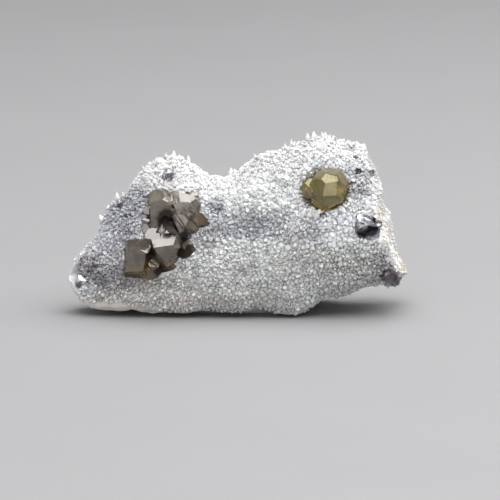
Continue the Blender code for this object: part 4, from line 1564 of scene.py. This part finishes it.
@dataclass
class BrokenGrains:
    """Sugary grains and chips of broken quartz on the plate's bare sides."""

    draw: np.random.Generator
    tries: int = 5200
    size: Pair = (0.35, 1.0)
    shade: Pair = (0.9, 1.12)
    side_from: float = 36.0
    back_share: float = 0.22

    def places(self, plate: bpy.types.Object, form: PlateForm) -> tuple[np.ndarray, np.ndarray, np.ndarray]:
        """Random places on the broken right side and, fewer, on the back.

        Args:
            plate: The fine plate.
            form: Its form, which is not used.

        Returns:
            The places, their normals and the colour of each.
        """
        mesh = plate.data
        mesh.calc_loop_triangles()
        triangles = [[tuple(mesh.vertices[v].co) for v in t.vertices] for t in mesh.loop_triangles]
        corners = np.array(triangles) / MM
        edges = np.cross(corners[:, 1] - corners[:, 0], corners[:, 2] - corners[:, 0])
        area = np.linalg.norm(edges, axis=1)
        normals = edges / np.maximum(area[:, None], TINY)
        middle = corners.mean(axis=1)
        broken = (normals[:, 0] > 0.45) & (middle[:, 0] > self.side_from)
        behind = (normals[:, 1] > 0.25) & ~broken & (middle[:, 2] > 1.5)
        weight = area * (broken * 1.0 + behind * self.back_share)
        chosen = self.draw.choice(len(area), self.tries, p=weight / weight.sum())
        shares = self.draw.dirichlet((1.0, 1.0, 1.0), self.tries)
        places = (corners[chosen] * shares[:, :, None]).sum(axis=1)
        shade = self.draw.uniform(*self.shade, (self.tries, 1))
        local = np.array([rock_colour(Vector(place)) for place in places])
        return places, normals[chosen], local * shade

    def make(self, plate: bpy.types.Object, form: PlateForm) -> bpy.types.Object:
        """Joins all the grains in one mesh of small uneven blocks.

        Args:
            plate: The fine plate.
            form: Its form.

        Returns:
            The joined object.
        """
        places, normals, tints = self.places(plate, form)
        signs = np.array(list(itertools.product((-1, 1), repeat=3)), dtype=float)
        whole = self.draw.uniform(*self.size, (self.tries, 1))
        half = whole * self.draw.uniform(0.6, 1.3, (self.tries, 3)) / 2
        spin = self.draw.normal(0.0, 1.0, (self.tries, 3, 3))
        turned, _ = np.linalg.qr(spin)
        local = signs[None] * half[:, None] * self.draw.uniform(0.62, 1.1, (self.tries, 8, 1))
        verts = np.einsum("nij,nkj->nki", turned, local) + (places + normals * 0.05)[:, None]
        mirrored = np.linalg.det(turned) < 0
        faces = []
        for n in range(self.tries):
            for face in BLOCK_FACES:
                loop = tuple(8 * n + i for i in face)
                faces.append(loop[::-1] if mirrored[n] else loop)
        thing = make_object("quartz_grains", verts.reshape(-1, 3), faces)
        paint(thing, np.repeat(tints, 8, axis=0))
        return thing


@dataclass
class DarkSpecks:
    """Small dark cubes scattered in the crust: across, up and width, and strewn patches of them."""

    draw: random.Random
    places: tuple[Triple, ...] = (
        (-34.8, 31.3, 1.3), (-38.7, 28.9, 1.1), (-32.4, 28.6, 1.5), (-33.6, 25.9, 1.0), (-6.9, 31.0, 1.3),
        (-7.2, 29.6, 1.0), (-5.4, 29.4, 1.4), (6.9, 36.3, 0.9), (12.3, 38.8, 0.8), (15.6, 45.7, 1.1),
        (23.5, 42.8, 0.8), (10.8, 29.8, 0.9), (6.9, 24.6, 1.1), (9.3, 25.3, 0.8), (18.0, 25.0, 0.9),
        (20.3, 23.8, 0.8), (26.1, 8.0, 1.0), (20.7, 6.4, 1.1), (-7.1, 13.3, 0.8), (-23.1, 0.9, 1.0),
        (-8.9, 3.9, 0.9), (-36.0, 12.6, 1.0), (-40.8, 15.2, 0.9), (-44.4, 16.5, 0.8), (-30.6, 15.0, 0.9),
        (3.9, 26.5, 0.7), (0.9, 25.0, 0.8), (13.4, 27.4, 0.7), (31.4, 22.2, 0.7), (44.6, 15.0, 0.9),
        (-42.5, 24.2, 0.8), (-36.6, 25.2, 0.9), (39.0, 17.0, 0.7))
    patches: tuple[tuple[float, float, float, float, int], ...] = (
        (-42.0, 13.0, 5.0, 4.5, 20), (-37.0, 24.0, 6.0, 7.0, 16), (-4.0, 25.0, 5.0, 6.0, 18),
        (8.0, 27.0, 10.0, 3.0, 12), (36.0, 37.0, 3.5, 5.0, 12), (38.0, 12.0, 8.0, 3.5, 18),
        (-24.0, 8.0, 8.0, 3.0, 8), (10.0, 38.0, 12.0, 6.0, 6))
    patch_size: Pair = (0.35, 0.8)
    patch_spread: float = 0.55
    lift: Pair = (0.9, 1.6)

    def all_places(self) -> list[Triple]:
        """The single specks and the ones that are strewn over the patches.

        Returns:
            Across, up and width of each.
        """
        found = list(self.places)
        for across, up, wide, high, count in self.patches:
            for _ in range(count):
                x = self.draw.gauss(across, wide * self.patch_spread)
                y = self.draw.gauss(up, high * self.patch_spread)
                found.append((x, y, self.draw.uniform(*self.patch_size)))
        return found

    def make(self, surface: PlateSurface, form: PlateForm) -> bpy.types.Object:
        """Sets each speck on the crust where it is seen, and joins them.

        Args:
            surface: The fine surface.
            form: The plate's form.

        Returns:
            The joined object.
        """
        crust = surface.points[:, :form.crust_rows].reshape(-1, 3)
        normals = surface.normals[:, :form.crust_rows].reshape(-1, 3)
        ups = seen_ups(crust)
        verts: list[Vector] = []
        faces: list[tuple[int, ...]] = []
        for across, up, width in self.all_places():
            nearest = int(np.argmin(np.hypot(crust[:, 0] - across, ups - up)))
            base = Vector(crust[nearest]) + Vector(normals[nearest]) * self.draw.uniform(*self.lift)
            for _ in range(self.draw.randint(1, 3)):
                half = width * self.draw.uniform(0.3, 0.55)
                middle = base + Vector([self.draw.uniform(-0.45, 0.45) * width for _ in range(3)])
                turn = Vector([self.draw.uniform(-1, 1) for _ in range(3)]).to_track_quat("Z", "Y")
                start = len(verts)
                verts += [middle + turn @ Vector(c) for c in itertools.product((-half, half), repeat=3)]
                faces += [tuple(start + i for i in face) for face in BLOCK_FACES]
        return make_object("dark_specks", verts, faces)


@dataclass
class OtherMineralPieces:
    """The sphalerite and galena solids with their real finishes, and the smallest dark specks."""

    surface: PlateSurface
    form: PlateForm
    speck_seed: int = 5

    def dress(self, name: str, finish: Finish, slot: Slot) -> None:
        """Gives a solid its finish.

        Args:
            name: The node's name.
            finish: Its finish.
            slot: Its slot, which is not used.
        """
        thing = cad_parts[name]
        thing.data.materials.clear()
        thing.data.materials.append(finish.material())
        LOG.info("%s: %s", name, finish.name)

    def build(self) -> None:
        """Dresses every other mineral."""
        self.dress("sphalerite_cluster", BrownSphaleriteFinish(), Slot.BROWN)
        self.dress("sphalerite_yellow", YellowSphaleriteFinish(), Slot.YELLOW)
        # Lit and shaded copies of the galena finish: the lower right piece is painted darker as shade, and
        # the left end and upper left pieces are painted brighter as light. Their roughness differs as well.
        dull_and_shaded = GalenaFinish("shaded_dull_lead_glance", roughness=(0.24, 0.5), clear=(0.2, 0.18, 0.2),
                            milky=(0.03, 0.025, 0.03))
        lit_silvery = GalenaFinish("lit_silvery_lead_glance", roughness=(0.14, 0.34), clear=(0.56, 0.56, 0.6),
                               milky=(0.15, 0.15, 0.17))
        special = {"galena_lower_right": dull_and_shaded, "galena_left_end": lit_silvery, "galena_upper_left": lit_silvery}
        for name in sorted(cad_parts):
            if name.startswith("galena"):
                self.dress(name, special.get(name, GalenaFinish()), Slot.GALENA)
        specks = DarkSpecks(random.Random(self.speck_seed)).make(self.surface, self.form)
        specks.data.materials.append(GalenaFinish().material())
        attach(specks, "root")


@dataclass(frozen=True)
class SoftBox:
    """One soft box: its name, place, size and power, and the place that it faces."""

    name: str
    place: Triple
    size: Pair
    watts: float
    aim: Triple

    def light(self) -> None:
        """Sets the soft box up."""
        data = bpy.data.lights.new(self.name, "AREA")
        data.shape = "RECTANGLE"
        data.size, data.size_y = self.size
        data.energy = self.watts
        thing = link_object(self.name, data)
        thing.location = self.place
        thing.rotation_euler = (Vector(self.place) - Vector(self.aim)).to_track_quat("Z", "Y").to_euler()


@dataclass
class Studio:
    """The pale floor, the soft lights and the camera at the photo's viewing angle."""

    distance: float = 1.59
    frame_width: float = 0.150
    aim_across: float = 0.0039
    aim_up: float = 0.01812
    sensor: float = 36.0
    floor_side: float = 8.0
    floor_drop: float = 0.00002
    surround: float = 0.4
    boxes: tuple[SoftBox, ...] = (
        SoftBox("top_box", (0.7, -0.16, 1.1), (2.4, 2.08), 60.0, (0.7, -0.16, 0.0)),
        SoftBox("front_box", (-0.5, -2.0, 0.65), (3.2, 1.2), 19.0, (0.0, 0.0, 0.025)),
        SoftBox("glint_box", (0.5, 1.08, 1.15), (0.34, 0.3), 2.2, (0.0, 0.0, 0.025)))

    def build(self) -> None:
        """Builds the whole studio."""
        self.floor()
        self.camera()
        self.lights()

    def floor(self) -> None:
        """The pale floor, which is no part of the object."""
        half, low = self.floor_side / 2, -self.floor_drop
        corners = [(-half, -half, low), (half, -half, low), (half, half, low), (-half, half, low)]
        mesh = bpy.data.meshes.new("stage_floor")
        mesh.from_pydata(corners, [], [(0, 1, 2, 3)])
        mesh.materials.append(FloorFinish().material())
        thing = link_object("stage_floor", mesh)

    def camera(self) -> None:
        """A long lens that looks slightly down at the front."""
        view = Vector((0.0, -math.cos(VIEW_TILT), math.sin(VIEW_TILT)))
        up = Vector((0.0, math.sin(VIEW_TILT), math.cos(VIEW_TILT)))
        data = bpy.data.cameras.new("camera")
        data.sensor_width = self.sensor
        data.lens = self.sensor * self.distance / self.frame_width
        data.clip_end = 20.0
        thing = link_object("camera", data)
        aim = Vector((self.aim_across, 0.0, 0.0)) + up * self.aim_up
        thing.location = aim + view * self.distance
        thing.rotation_euler = view.to_track_quat("Z", "Y").to_euler()
        bpy.context.scene.camera = thing

    def lights(self) -> None:
        """A large soft box above, a wide one in front at the left, a small one behind and a dim surround."""
        for box in self.boxes:
            box.light()
        world = bpy.data.worlds.new("studio")
        bpy.context.scene.world = world
        world.use_nodes = True
        settle(world.node_tree.nodes["Background"], {"Color": rgb(1.0, 1.0, 1.0), "Strength": self.surround})
        bpy.context.scene.view_settings.view_transform = "Standard"


def main() -> None:
    """Builds the pieces in order and reports each."""
    logging.basicConfig(level=logging.INFO, format="%(name)s: %(message)s")
    quartz = QuartzPlate()
    for piece in quartz.build():
        LOG.info("%s: %d faces", piece.name, len(piece.data.polygons))
    OtherMineralPieces(quartz.surface, quartz.form).build()
    Studio().build()


if __name__ == "__main__":
    main()
